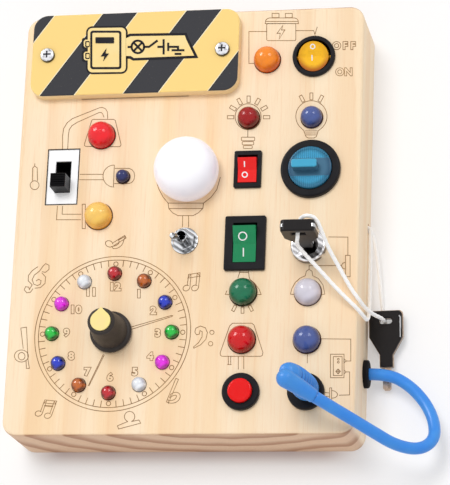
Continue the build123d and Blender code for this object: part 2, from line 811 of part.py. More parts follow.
def key_solids():
    """The metal blade and the two plastic shells of a key, in the XZ plane, top edge at the origin."""
    length = key_straight + key_taper + key_neck_length
    hole = Pos(0, -key_hole_drop) * SlotOverall(key_hole_width, key_hole_height)
    metal = key_outline(key_width, key_neck_width, length, key_corner) - hole
    blade = Pos(0, -length - key_blade_length / 2) * Rectangle(key_blade_width, key_blade_length)
    blade = chamfer(blade.vertices().group_by(Axis.Y)[0], 1.0)
    thick = key_plate_thickness / 2
    plate = extrude(Plane.XZ * (metal + blade), amount=thick, both=True)
    bite = Pos(key_blade_width / 2, 0, -length - 0.55 * key_blade_length)
    plate -= bite * Box(1.4, key_plate_thickness * 2, 1.6)
    plate -= Pos(0, 0, 2.8) * bite * Box(1.0, key_plate_thickness * 2, 1.2)
    shrink = 2 * key_shell_inset
    shell_face = key_outline(key_width - shrink, key_neck_width - shrink, length - key_shell_inset, key_corner)
    shell_face = Pos(0, -key_shell_inset) * shell_face - hole
    shells = []
    for side in (-1, 1):
        shell = extrude(Plane.XZ * shell_face, amount=-side * key_shell_thickness)
        shell = Pos(0, side * thick, 0) * shell
        outer = shell.edges().group_by(Axis.Y)[-1 if side > 0 else 0]
        shells.append(chamfer(outer, 0.5))
    return plate, shells


def make_key_switch():
    x, y = lock_x, lock_y
    top = board_thickness + lock_ring_height
    floor = board_thickness - lock_barrel_depth
    body = column(x, y, board_thickness, top, lock_ring_radius)
    body = fillet(body.edges().group_by(Axis.Z)[-1], 1.3)
    body += column(x, y, floor, board_thickness, lock_barrel_radius)
    core_bottom = top - core_drop - core_depth
    body -= column(x, y, core_bottom - 0.2, top + 1, core_radius + running_fit)
    write("lock_body", body)

    core_top = top - core_drop
    core = column(x, y, core_bottom, core_top, core_radius)
    key_top = board_thickness + key_top_rise
    tip = key_top - key_straight - key_taper - key_neck_length - key_blade_length
    slot = (key_blade_width + 2 * key_slot_gap, key_plate_thickness + 2 * key_slot_gap)
    core -= block(x, y, tip - 1, core_top + 1, *slot)
    write("lock_core", core)

    plate, shells = key_solids()
    place = Pos(x, y, key_top)
    write("key_blade", place * plate)
    write("key_grip", *[place * shell for shell in shells])

    lay = Pos(spare_x, spare_y, spare_z) * Rot(0, 0, spare_turn) * Rot(-90 + spare_dip, 0, 0) * Pos(0, 0, key_hole_drop)
    write("spare_key_blade", lay * plate)
    write("spare_key_grip", *[lay * shell for shell in shells])
    return [terminal(x + side * lock_barrel_radius * 0.49, y, floor) for side in (-1, 1)]


def make_panel_nuts():
    nuts = []
    for x, y, radius in (
        (button_x, button_y, button_barrel_radius),
        (lock_x, lock_y, lock_barrel_radius),
        (jack_x, jack_y, jack_barrel_radius),
    ):
        nut = hexagon(x, y, skin_floor - nut_height, skin_floor, 2 * (radius + nut_reach))
        nuts.append(nut - column(x, y, skin_floor - nut_height - 1, skin_floor + 1, radius + 0.05))
    nut = hexagon(clock_x, clock_y, board_thickness, board_thickness + selector_nut_height, selector_nut_flats)
    hole = column(clock_x, clock_y, board_thickness - 1, board_thickness + 5, selector_bushing_radius + 0.05)
    nuts.append(nut - hole)
    write("panel_nuts", *nuts)


def from_place(place, *offsets):
    return [(place[0] + x, place[1] + y, place[2] + z) for x, y, z in offsets]


# Cable and string routes. Points are chosen by hand along the real lay of each cord.
lower_corner = (half_width, -half_height, 0)
upper_corner = (half_width, -half_height, board_thickness)
cable_exit = half_height + grommet_y
cable_route = from_place(
    lower_corner,
    (grommet_proud - cable_seat, cable_exit, grommet_z),
    (12.8, cable_exit, grommet_z),
    (23.8, 33.7, 11.8),
    (32.8, 24.2, 12.7),
    (38.3, 13.0, 15.4),
    (39.3, 1.8, 19.9),
    (32.3, -5.1, 26.4),
) + from_place(
    upper_corner,
    (20.8, -4.6, -6.7),
    (9.6, 0.8, 3.4),
    (-4.5, 7.7, 15.4),
    (-18.0, 14.2, 27.1),
)

# The string leaves the hole, goes up through the spare key, on to the key in the lock, and back.
beside_board = (half_width, spare_y, 0)
over_edge = (half_width, spare_y, board_thickness)
key_hole = (lock_x, lock_y, board_thickness + key_top_rise - key_hole_drop)
string_route = from_place(
    beside_board,
    (-string_inset, 51.25, 7.3),
    (1.5, 51.25, 7.3),
    (3.6, 45.0, 7.1),
    (5.3, 34.5, 6.0),
    (6.5, 22.2, 4.3),
    (7.3, 12.0, 2.4),
    (8.4, 5.0, 1.7),
    (9.7, 0.1, 1.7),
    (9.7, -0.2, 7.4),
    (9.3, -0.1, 12.6),
    (5.5, -0.1, 21.5),
) + from_place(
    over_edge,
    (3.0, 0.0, -9.5),
    (1.6, 1.1, 2.3),
    (-2.8, 6.8, 6.6),
    (-7.8, 15.8, 12.2),
) + from_place(
    key_hole,
    (13.9, -7.3, -11.2),
    (11.7, -1.2, -4.6),
    (9.3, 5.2, 1.4),
    (3.9, 6.4, 2.3),
    (0.1, 5.0, 0.0),
    (-0.5, -5.8, 0.0),
    (-1.7, -7.1, -5.7),
    (0.4, -9.3, -9.6),
    (3.7, -12.7, -13.3),
    (8.5, -17.3, -17.3),
) + from_place(
    over_edge,
    (-12.3, 8.5, 11.1),
    (-6.2, 2.5, 7.7),
    (-0.6, -2.5, 4.5),
    (3.0, -5.9, -1.2),
    (3.5, -6.0, -12.0),
) + from_place(
    beside_board,
    (2.6, 0.7, 16.8),
    (1.9, 10.3, 10.6),
    (1.5, 24.3, 9.1),
    (1.7, 37.6, 9.7),
    (1.4, 46.9, 9.8),
    (1.6, 52.55, 9.9),
    (-string_inset, 52.55, 9.9),
)


def bend_radii(points, share=0.45):
    radii = []
    for before, here, after in zip(points, points[1:], points[2:]):
        first, second = Vector(here) - Vector(before), Vector(after) - Vector(here)
        turn = radians(first.get_angle(second))
        radii.append(share * min(first.length, second.length) / tan(turn / 2))
    return radii


def tube(points, radius, largest=400.0):
    radii = [min(r, largest) for r in bend_radii(points)]
    path = FilletPolyline(*points, radius=radii)
    start = Plane(origin=path @ 0, z_dir=path % 0)
    solid = sweep(start * Circle(radius), path=path)
    section = pi * radius ** 2
    print(f"tube radii {[round(r, 1) for r in radii]}, length {path.length:.1f}, "
          f"volume ratio {solid.volume / (section * path.length):.4f}")
    return solid


def make_jack_and_plug():
    x, y = jack_x, jack_y
    top = board_thickness + jack_flange_height
    floor = board_thickness - jack_barrel_depth
    body = column(x, y, board_thickness, top, jack_flange_radius)
    body = fillet(body.edges().group_by(Axis.Z)[-1], 0.8)
    body += column(x, y, floor, board_thickness, jack_barrel_radius)
    body -= column(x, y, floor + jack_floor, top + 1, plug_pin_radius + plug_fit)
    write("jack_socket", body)

    base = top + plug_seat
    pin = capsule_up(0, 0, -4, plug_pin_length, plug_pin_radius)
    pin -= at(0, 0, 0.78 * plug_pin_length, Torus(plug_pin_radius + 0.3, 0.8))
    write("plug_pin", Pos(x, y, base) * Rot(180, 0, 0) * pin)

    crown = board_thickness + plug_rise
    body = turned(x, y, [
        (0, base), (plug_base_radius - 0.8, base), (plug_base_radius, base + 0.8),
        (plug_base_radius, base + 6), (plug_top_radius, base + 10), (plug_top_radius, crown - 4),
        (plug_top_radius - 1.2, crown - 1.4), (plug_top_radius - 3.6, crown), (0, crown),
    ])
    cable_end = Vector(*cable_route[-1])
    heading = (cable_end - Vector(*cable_route[-2])).normalized()
    boot_start = cable_end + heading * boot_length
    boot = Plane(origin=cable_end, z_dir=heading) * Pos(0, 0, boot_length / 2) * Cylinder(boot_radius, boot_length)
    body += boot + Pos(boot_start.X, boot_start.Y, boot_start.Z) * Sphere(boot_radius)
    for index in range(plug_rib_count):
        z = base + 10 + index * plug_rib_pitch
        ring = column(x, y, z, z + plug_rib_height, plug_top_radius + 1)
        ring -= column(x, y, z - 1, z + plug_rib_height + 1, plug_top_radius - plug_rib_depth)
        notch = block(x + plug_top_radius, y + plug_top_radius * 0.4, z, z + plug_rib_height, plug_top_radius, 2 * plug_top_radius)
        body -= ring & notch
    hole = column(x, y, base - 1, base + 4, plug_pin_radius)
    write("plug_body", body - hole)

    side = Rot(0, 90, 0)
    flange = Pos(half_width + grommet_proud / 2, grommet_y, grommet_z) * side * Cylinder(grommet_radius, grommet_proud)
    flange = fillet(flange.edges().group_by(Axis.X)[-1], 1.1)
    sleeve_length = wall + 3
    grommet = flange + Pos(half_width - sleeve_length / 2, grommet_y, grommet_z) * side * Cylinder(grommet_sleeve_radius, sleeve_length)
    seat = Pos(half_width + grommet_proud - cable_seat / 2, grommet_y, grommet_z) * side
    grommet -= seat * Cylinder(cable_radius + 0.05, cable_seat)
    write("cable_grommet", grommet)
    write("blue_cable", tube(cable_route, cable_radius))


def wire(start, end, level):
    """An insulated wire: down from one end, across under everything, and up to the other."""
    corners = [start, (start[0], start[1], level), (end[0], end[1], level), end]
    path = FilletPolyline(*corners, radius=wire_bend)
    return sweep(Plane(origin=start, z_dir=(0, 0, -1)) * Circle(wire_radius), path=path)


def beside(lamp, toward, reach=0.6):
    """The place under a lamp's circuit board that a wire from another place is soldered to."""
    x, y, radius = lamp
    run = Vector(toward[0] - x, toward[1] - y)
    run = run.normalized() * (reach * (radius + lens_lip))
    return x + run.X, y + run.Y, circuit_floor


def make_wiring():
    upper_red, lower_red, medium_red = red_lamps
    medium_blue, lower_blue, small_blue = blue_lamps
    orange, yellow, green, white = orange_lamps[0], yellow_lamps[0], green_lamps[0], white_lamps[0]
    globe_lamp = (globe_x, globe_y, globe_neck_radius)
    wires = []
    for first, second in (
        (yellow, small_blue), (small_blue, upper_red), (small_blue, globe_lamp), (globe_lamp, medium_red),
        (medium_red, medium_blue), (medium_red, orange), (green, white), (green, lower_red), (white, lower_blue),
    ):
        level = circuit_floor - wire_drop
        wires.append(wire(beside(first, second), beside(second, first), level))
    rocker_floor = board_thickness - rocker_housing_depth
    tray_floor = board_thickness - tray_drop_in - tray_depth
    for place, lamp, top in (
        ((red_rocker_x, red_rocker_y + red_bezel[1] * terminal_share), medium_red, rocker_floor - terminal_length),
        ((green_rocker_x, green_rocker_y - green_bezel[1] * terminal_share), green, rocker_floor - terminal_length),
        ((round_rocker_x, round_rocker_y - round_key_radius * 0.54), medium_blue, rocker_floor - terminal_length),
        ((rotary_x, rotary_y), medium_blue, board_thickness - rotary_housing_depth - terminal_length),
        ((jack_x, jack_y), lower_blue, board_thickness - jack_barrel_depth),
        ((tray_x - tray_length / 4, tray_y - tray_width / 3), upper_red, tray_floor),
        ((tray_x + tray_length / 3, tray_y - tray_width / 3), medium_red, tray_floor),
    ):
        start = (*place, top)
        wires.append(wire(start, beside(lamp, place, 0.75), top - wire_drop))
    write("wiring", *wires)


def make_string():
    whole = tube(string_route, string_radius)
    low, high = -1, board_thickness + key_top_rise + 10
    half_gap = string_cut_gap / 2
    near = column(lock_x, lock_y, low, high, string_cut_inner - half_gap)
    middle = column(lock_x, lock_y, low, high, string_cut_outer - half_gap)
    middle -= column(lock_x, lock_y, low, high, string_cut_inner + half_gap)
    far = column(lock_x, lock_y, low, high, string_cut_outer + half_gap)

    inside = half_width - wall
    lay = Rot(0, 90, 0)
    knot = Pos(inside - knot_length / 2, string_hole_y, string_hole_z) * lay * Cylinder(knot_radius, knot_length)
    knot = fillet(knot.edges(), 1.4)
    for x, y, z in (string_route[0], string_route[-1]):
        start = inside - knot_length / 2
        knot += Pos((start + x) / 2, y, z) * lay * Cylinder(string_radius, x - start)
    write("string_strands", whole - far, knot)
    write("string_key_ends", whole & middle)
    write("string_key_loop", whole & near)


def main():
    os.makedirs("parts", exist_ok=True)
    make_board()
    make_back_panel()
    make_hazard_plate()
    make_battery_set()
    make_lamps()
    terminals = make_rockers()
    terminals += make_rotary()
    terminals += make_toggle()
    terminals += make_slide_switch()
    terminals += make_selector()
    terminals += make_push_button()
    terminals += make_key_switch()
    write("switch_terminals", *terminals)
    make_panel_nuts()
    make_jack_and_plug()
    make_string()
    make_wiring()


main()
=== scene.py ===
import json
from math import cos, hypot, pi, radians, sin

import bpy
from mathutils import Matrix, Vector
from mathutils.bvhtree import BVHTree
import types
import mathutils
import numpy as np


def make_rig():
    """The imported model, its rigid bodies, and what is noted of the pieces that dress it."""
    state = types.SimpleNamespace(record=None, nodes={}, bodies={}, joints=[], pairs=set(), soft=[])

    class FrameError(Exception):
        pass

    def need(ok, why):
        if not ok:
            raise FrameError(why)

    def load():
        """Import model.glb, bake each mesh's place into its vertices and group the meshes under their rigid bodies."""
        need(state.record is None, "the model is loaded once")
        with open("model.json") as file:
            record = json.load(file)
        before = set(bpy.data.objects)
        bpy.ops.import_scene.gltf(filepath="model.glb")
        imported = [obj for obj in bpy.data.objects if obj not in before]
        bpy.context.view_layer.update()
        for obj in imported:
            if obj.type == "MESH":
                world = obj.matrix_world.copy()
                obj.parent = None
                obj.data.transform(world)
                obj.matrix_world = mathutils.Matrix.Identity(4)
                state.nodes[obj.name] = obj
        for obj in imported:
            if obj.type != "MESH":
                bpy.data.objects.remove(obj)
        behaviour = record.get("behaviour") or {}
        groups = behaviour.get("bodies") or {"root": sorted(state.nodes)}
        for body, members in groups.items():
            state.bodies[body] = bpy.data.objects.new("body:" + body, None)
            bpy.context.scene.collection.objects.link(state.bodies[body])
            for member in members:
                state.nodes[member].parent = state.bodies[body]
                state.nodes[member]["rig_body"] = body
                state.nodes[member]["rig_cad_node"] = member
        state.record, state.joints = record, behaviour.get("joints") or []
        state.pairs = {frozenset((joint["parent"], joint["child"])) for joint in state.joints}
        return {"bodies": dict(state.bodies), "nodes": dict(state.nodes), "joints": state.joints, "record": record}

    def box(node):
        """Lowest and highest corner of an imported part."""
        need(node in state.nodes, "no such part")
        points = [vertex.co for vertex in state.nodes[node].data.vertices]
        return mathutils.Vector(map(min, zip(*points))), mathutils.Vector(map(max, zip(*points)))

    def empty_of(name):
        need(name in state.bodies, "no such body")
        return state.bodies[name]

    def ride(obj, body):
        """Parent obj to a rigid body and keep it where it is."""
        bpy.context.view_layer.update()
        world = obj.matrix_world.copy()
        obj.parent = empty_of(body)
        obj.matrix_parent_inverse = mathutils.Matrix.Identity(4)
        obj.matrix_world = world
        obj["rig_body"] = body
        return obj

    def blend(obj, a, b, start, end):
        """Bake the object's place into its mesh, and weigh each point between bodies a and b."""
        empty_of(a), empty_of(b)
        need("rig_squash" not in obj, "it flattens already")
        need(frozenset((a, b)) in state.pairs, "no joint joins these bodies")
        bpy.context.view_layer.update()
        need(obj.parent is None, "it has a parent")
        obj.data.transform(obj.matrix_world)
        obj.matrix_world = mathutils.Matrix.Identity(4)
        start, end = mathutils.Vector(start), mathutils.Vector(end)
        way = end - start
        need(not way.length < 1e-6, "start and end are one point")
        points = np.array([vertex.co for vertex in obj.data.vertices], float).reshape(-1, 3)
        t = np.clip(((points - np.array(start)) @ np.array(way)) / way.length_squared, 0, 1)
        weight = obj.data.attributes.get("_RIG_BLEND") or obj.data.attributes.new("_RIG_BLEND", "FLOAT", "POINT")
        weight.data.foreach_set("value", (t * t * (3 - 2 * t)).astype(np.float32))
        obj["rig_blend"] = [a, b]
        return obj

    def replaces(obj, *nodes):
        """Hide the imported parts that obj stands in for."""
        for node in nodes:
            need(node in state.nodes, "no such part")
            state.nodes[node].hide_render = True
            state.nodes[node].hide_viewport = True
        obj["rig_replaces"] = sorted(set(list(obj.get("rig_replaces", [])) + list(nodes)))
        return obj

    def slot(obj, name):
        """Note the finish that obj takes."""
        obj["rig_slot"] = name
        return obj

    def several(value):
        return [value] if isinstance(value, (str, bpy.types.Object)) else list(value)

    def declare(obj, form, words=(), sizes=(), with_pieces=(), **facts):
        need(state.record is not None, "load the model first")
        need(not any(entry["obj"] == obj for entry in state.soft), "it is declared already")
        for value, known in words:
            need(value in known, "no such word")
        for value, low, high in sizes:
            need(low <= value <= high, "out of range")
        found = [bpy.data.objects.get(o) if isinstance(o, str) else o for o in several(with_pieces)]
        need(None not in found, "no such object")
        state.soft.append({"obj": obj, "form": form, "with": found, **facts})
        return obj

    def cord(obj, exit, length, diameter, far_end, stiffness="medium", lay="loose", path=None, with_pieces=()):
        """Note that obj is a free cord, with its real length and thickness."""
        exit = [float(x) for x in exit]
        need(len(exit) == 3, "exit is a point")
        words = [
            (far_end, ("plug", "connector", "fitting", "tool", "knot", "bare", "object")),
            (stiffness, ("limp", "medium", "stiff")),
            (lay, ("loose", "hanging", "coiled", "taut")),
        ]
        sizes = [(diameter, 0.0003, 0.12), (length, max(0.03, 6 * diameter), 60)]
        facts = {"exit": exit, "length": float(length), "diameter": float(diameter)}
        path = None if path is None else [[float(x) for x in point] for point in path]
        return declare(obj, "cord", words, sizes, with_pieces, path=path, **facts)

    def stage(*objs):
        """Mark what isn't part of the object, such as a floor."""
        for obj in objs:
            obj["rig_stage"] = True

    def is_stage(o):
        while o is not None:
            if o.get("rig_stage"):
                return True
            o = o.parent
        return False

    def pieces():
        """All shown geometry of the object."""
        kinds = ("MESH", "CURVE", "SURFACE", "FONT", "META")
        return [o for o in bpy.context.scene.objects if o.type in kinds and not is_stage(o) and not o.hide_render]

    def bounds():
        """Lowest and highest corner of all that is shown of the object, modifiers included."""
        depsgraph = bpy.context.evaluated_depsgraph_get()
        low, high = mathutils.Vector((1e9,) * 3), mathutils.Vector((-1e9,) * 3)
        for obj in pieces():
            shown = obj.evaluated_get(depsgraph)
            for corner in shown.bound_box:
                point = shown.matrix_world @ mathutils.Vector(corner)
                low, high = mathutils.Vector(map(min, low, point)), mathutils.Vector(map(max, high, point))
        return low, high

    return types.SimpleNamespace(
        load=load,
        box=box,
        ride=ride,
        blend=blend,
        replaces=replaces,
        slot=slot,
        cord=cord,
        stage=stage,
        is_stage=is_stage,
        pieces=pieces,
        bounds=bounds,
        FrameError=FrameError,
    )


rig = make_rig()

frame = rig.load()
cadBox = [list(corner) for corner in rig.bounds()]
nodes = frame["nodes"]
mm = 0.001


def topOf(node):
    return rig.box(node)[1].z


def middleOf(node):
    low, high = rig.box(node)
    return (low + high) / 2


boardTop = topOf("wooden_board")


def paint(red, green, blue):
    # a colour as it looks on a screen, turned into Blender's own
    levels = [level / 255 for level in (red, green, blue)]
    return (*[v / 12.92 if v <= 0.04045 else ((v + 0.055) / 1.055) ** 2.4 for v in levels], 1)


camera = {
    "place": Vector((0.285781, -0.404558, 1.297532)),
    "right": Vector((0.980337, 0.038626, -0.193515)),
    "up": Vector((0.020181, 0.955889, 0.293034)),
    "forward": Vector((-0.196298, 0.291178, -0.936313)),
    "focal": 2502.39,       # in picture dots
    "picture": (450, 485),  # the picture that the drawings' dots are counted in
    "sensor": 36,
}


def makeCamera():
    data = bpy.data.cameras.new("camera")
    data.sensor_width = camera["sensor"]
    data.lens = camera["sensor"] * camera["focal"] / max(camera["picture"])
    eye = bpy.data.objects.new("camera", data)
    turn = Matrix((camera["right"], camera["up"], -camera["forward"])).transposed()
    eye.matrix_world = Matrix.Translation(camera["place"]) @ turn.to_4x4()
    bpy.context.scene.collection.objects.link(eye)
    bpy.context.scene.camera = eye


def rayThrough(dot):
    wide, high = camera["picture"]
    across = (dot[0] - wide / 2) / camera["focal"]
    down = (dot[1] - high / 2) / camera["focal"]
    return camera["forward"] + camera["right"] * across - camera["up"] * down


def onLevel(height):
    # turns a dot of the picture into the place on a level plane
    def spot(dot):
        ray = rayThrough(dot)
        return camera["place"] + ray * ((height - camera["place"].z) / ray.z)
    return spot


def standing(height):
    # lifts a place in metres on to a level plane
    return lambda place: Vector((place[0], place[1], height))


def onNode(node, lift):
    # turns a dot of the picture into the place on a piece's skin, lifted off it a little
    mesh = nodes[node].data
    skin = BVHTree.FromPolygons([v.co for v in mesh.vertices], [p.vertices for p in mesh.polygons])

    def spot(dot):
        ray = rayThrough(dot).normalized()
        place, normal, _, _ = skin.ray_cast(camera["place"], ray)
        return place + normal * lift
    return spot


makeCamera()

string = {
    "diameter": 0.0022,
    "strandCount": 3,
    "strandDepth": 0.16,
    "turnsPerMetre": 260,
    "around": 15,
    "resolution": 22,
    "loopReach": 0.0114,   # the part nearer the lock's axis than this rides on the key
    "lengths": (0.143, 0.040, 0.127),
    "route": [
        (0.0915, 0.00178, 0.0073), (0.0965, 0.00178, 0.0073), (0.0986, -0.00447, 0.0071),
        (0.1003, -0.01497, 0.0060), (0.1015, -0.02727, 0.0043), (0.1023, -0.03747, 0.0024),
        (0.1034, -0.04447, 0.0017), (0.1047, -0.04937, 0.0017), (0.1047, -0.04967, 0.0074),
        (0.1043, -0.04957, 0.0126), (0.1005, -0.04957, 0.0215), (0.0980, -0.04947, 0.0325),
        (0.0966, -0.04837, 0.0443), (0.0922, -0.04267, 0.0486), (0.0872, -0.03367, 0.0542),
        (0.082015, -0.024508, 0.0633), (0.079815, -0.018408, 0.0699), (0.077415, -0.012008, 0.0759),
        (0.072015, -0.010808, 0.0768), (0.068215, -0.012208, 0.0745), (0.067615, -0.023008, 0.0745),
        (0.066415, -0.024308, 0.0688), (0.068515, -0.026508, 0.0649), (0.071815, -0.029908, 0.0612),
        (0.076615, -0.034508, 0.0572), (0.0827, -0.04097, 0.0531), (0.0888, -0.04697, 0.0497),
        (0.0944, -0.05197, 0.0465), (0.0980, -0.05537, 0.0408), (0.0985, -0.05547, 0.0300),
        (0.0976, -0.04877, 0.0168), (0.0969, -0.03917, 0.0106), (0.0965, -0.02517, 0.0091),
        (0.0967, -0.01187, 0.0097), (0.0964, -0.00257, 0.0098), (0.0966, 0.00308, 0.0099),
        (0.0915, 0.00308, 0.0099),
    ],
    # where the strands start and end to follow the key, and where the loop starts and ends to turn with it
    "pull": ((0.09, -0.03, 0.034), (0.09, -0.03, 0.066)),
    "twist": ((0.0787, -0.0274, 0.07), (0.0741, -0.0228, 0.07)),
}
cable = {
    "diameter": 0.0064,
    "length": 0.1415,
    "around": 24,
    "resolution": 16,
    "route": [
        (0.0963, -0.0799, 0.0115), (0.1078, -0.0799, 0.0115), (0.1188, -0.0858, 0.0118),
        (0.1278, -0.0953, 0.0127), (0.1333, -0.1065, 0.0154), (0.1343, -0.1177, 0.0199),
        (0.1273, -0.1246, 0.0264), (0.1158, -0.1241, 0.0353), (0.1046, -0.1187, 0.0454),
        (0.0905, -0.1118, 0.0574), (0.0770, -0.1053, 0.0691),
    ],
    "pull": ((0.1343, -0.1177, 0.0199), (0.0905, -0.1118, 0.0574)),
}


def routeCurve(name, route, resolution):
    curve = bpy.data.curves.new(name, "CURVE")
    curve.dimensions = "3D"
    spline = curve.splines.new("NURBS")
    spline.points.add(len(route) - 1)
    for point, place in zip(spline.points, route):
        point.co = (*place, 1)
    spline.order_u = 3
    spline.use_endpoint_u = True
    curve.resolution_u = resolution
    spline.resolution_u = resolution
    piece = bpy.data.objects.new(name, curve)
    bpy.context.scene.collection.objects.link(piece)
    return piece


def linePoints(route, resolution):
    guide = routeCurve("guide", route, resolution)
    mesh = bpy.data.meshes.new_from_object(guide)
    points = [vertex.co.copy() for vertex in mesh.vertices]
    bpy.data.objects.remove(guide)
    bpy.data.meshes.remove(mesh)
    return points


def addMesh(name, places, faces, smooth=False):
    mesh = bpy.data.meshes.new(name)
    mesh.from_pydata([tuple(place) for place in places], [], faces)
    mesh.validate()
    for face in mesh.polygons:
        face.use_smooth = smooth
    piece = bpy.data.objects.new(name, mesh)
    bpy.context.scene.collection.objects.link(piece)
    return piece


def tubeFaces(rings, around):
    # the faces of a closed skin through rings of places
    faces = []
    for index in range(rings - 1):
        for step in range(around):
            low = index * around + step
            near = index * around + (step + 1) % around
            faces.append((low, near, near + around, low + around))
    faces.append(tuple(reversed(range(around))))
    faces.append(tuple(range((rings - 1) * around, rings * around)))
    return faces


def cordSkin(name, points, diameter, around, strands=0, depth=0.0, turnsPerMetre=0.0):
    # a tube along the points, and for a twisted string one whose skin is its strands
    places = []
    side = Vector((0, 0, 1))
    run = 0
    for index, point in enumerate(points):
        ahead = points[min(index + 1, len(points) - 1)] - points[max(index - 1, 0)]
        ahead.normalize()
        side = (side - ahead * side.dot(ahead)).normalized()
        other = ahead.cross(side)
        if index:
            run += (point - points[index - 1]).length
        for step in range(around):
            angle = 2 * pi * step / around
            lobe = abs(cos(angle * strands / 2 + pi * run * turnsPerMetre))
            reach = diameter / 2 * (1 - depth * (1 - lobe))
            places.append(point + side * (reach * cos(angle)) + other * (reach * sin(angle)))
    return addMesh(name, places, tubeFaces(len(points), around), smooth=True)


def makeString():
    points = linePoints(string["route"], string["resolution"])
    lock = middleOf("lock_core")
    inside = [i for i, p in enumerate(points) if hypot(p.x - lock.x, p.y - lock.y) < string["loopReach"]]
    first, last = inside[0], inside[-1]
    runs = (
        ("stringOut", points[:first + 1]),
        ("stringKeyLoop", points[first:last + 1]),
        ("stringBack", points[:last - 1:-1]),
    )
    pieces = []
    for (name, path), length in zip(runs, string["lengths"]):
        piece = cordSkin(name, path, string["diameter"], string["around"], string["strandCount"],
                         string["strandDepth"], string["turnsPerMetre"])
        measured = sum((b - a).length for a, b in zip(path, path[1:]))
        print(f"{name}: {measured / mm:.1f} mm")
        threaded = [nodes["spare_key_grip"], nodes["spare_key_blade"]] if name == "stringOut" else []
        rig.cord(piece, exit=path[0], length=length, diameter=string["diameter"], far_end="object",
                stiffness="limp", lay="loose", path=path, with_pieces=threaded)
        if name == "stringKeyLoop":
            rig.blend(piece, "key_string_ends", "key", *string["twist"])
            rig.replaces(piece, "string_key_loop")
        else:
            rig.blend(piece, "board", "key_string_ends", *string["pull"])
        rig.slot(piece, "white_string")
        pieces.append(piece)
    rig.replaces(pieces[0], "string_strands", "string_key_ends")
    return pieces


plug = {
    "barrel": [     # heights above the jack, and the radius at each
        (0.0, 0.0060), (0.0008, 0.0066), (0.006, 0.0069), (0.012, 0.0069), (0.022, 0.0065),
        (0.0275, 0.0059), (0.031, 0.0050), (0.0335, 0.0034), (0.0342, 0.0012),
    ],
    "levels": 120,
    "around": 48,
    "aside": Vector((0.0009, 0.0009, 0)),   # how far its foot stands from the pin
    "lean": Vector((-0.0046, 0.0030, 0)),   # how far the crown stands to the side
    "leanFrom": 0.2,                        # the share of its height where the lean starts
    "ribPitch": 0.0027,
    "ribDepth": 0.0012,
    "ribs": (0.0070, 0.0290),
    "bootEnds": (Vector((0.0646, -0.0984, 0.0780)), Vector((0.0776, -0.10555, 0.0686))),
    "bootRadii": (0.0050, 0.0036),
    "bootCap": 9,
    "bootLevels": 24,
    "bootAround": 36,
    "groove": 0.7,          # how much painted shade deepens the blue between the ribs
    "blue": paint(60, 140, 228),
    "pale": paint(72, 150, 226),
    # the colour of the painted shade in the grooves
    "deep": paint(22, 82, 176),
}


def ringStack(name, centres, radii, axis, around):
    # a closed skin through circles that stand across an axis
    side = axis.orthogonal().normalized()
    other = axis.cross(side).normalized()
    places = []
    for centre, radius in zip(centres, radii):
        for step in range(around):
            angle = 2 * pi * step / around
            places.append(centre + side * (radius * cos(angle)) + other * (radius * sin(angle)))
    return addMesh(name, places, tubeFaces(len(centres), around), smooth=True)


def between(table, value):
    # the radius that a table of heights and radii gives at a height
    for (low, first), (high, second) in zip(table, table[1:]):
        if value <= high:
            return first + (second - first) * (value - low) / (high - low)
    return table[-1][1]


def makePlug():
    # a ribbed barrel that leans over, and the smooth boot that the cable comes out of
    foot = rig.box("plug_body")[0].z
    pin = middleOf("plug_pin")
    tall = plug["barrel"][-1][0]
    centres = []
    radii = []
    for level in range(plug["levels"] + 1):
        height = tall * level / plug["levels"]
        share = max(height / tall - plug["leanFrom"], 0) / (1 - plug["leanFrom"])
        aside = plug["aside"] * (1 - height / tall)
        centres.append(Vector((pin.x, pin.y, foot + height)) + aside + plug["lean"] * share * share)
        radius = between(plug["barrel"], height)
        if plug["ribs"][0] < height < plug["ribs"][1]:
            radius -= plug["ribDepth"] * (0.5 + 0.5 * cos(2 * pi * height / plug["ribPitch"]))
        radii.append(radius)
    barrel = ringStack("plugBarrel", centres, radii, Vector((0, 0, 1)), plug["around"])

    start, end = plug["bootEnds"]
    run = end - start
    wide, slim = plug["bootRadii"]
    ahead = run.normalized()
    angles = [pi / 2 * (turn + 0.5) / plug["bootCap"] for turn in range(plug["bootCap"])]
    centres = [start - ahead * (wide * cos(angle)) for angle in angles]
    radii = [wide * sin(angle) for angle in angles]
    for level in range(plug["bootLevels"] + 1):
        centres.append(start + run * (level / plug["bootLevels"]))
        radii.append(wide + (slim - wide) * level / plug["bootLevels"])
    boot = ringStack("plugBoot", centres, radii, ahead, plug["bootAround"])
    for piece in (barrel, boot):
        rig.ride(piece, "plug")
        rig.slot(piece, "blue_cable")
    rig.replaces(barrel, "plug_body")
    return [barrel, boot]


def makeCable():
    path = linePoints(cable["route"], cable["resolution"])
    piece = cordSkin("blueCable", path, cable["diameter"], cable["around"])
    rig.cord(piece, exit=path[0], length=cable["length"], diameter=cable["diameter"], far_end="plug",
            stiffness="medium", lay="loose", path=path, with_pieces=[*plugPieces, nodes["plug_pin"]])
    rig.blend(piece, "board", "plug", *cable["pull"])
    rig.replaces(piece, "blue_cable")
    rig.slot(piece, "blue_cable")
    return piece


stringPieces = makeString()
plugPieces = makePlug()
cablePiece = makeCable()
print("camera and cords made")


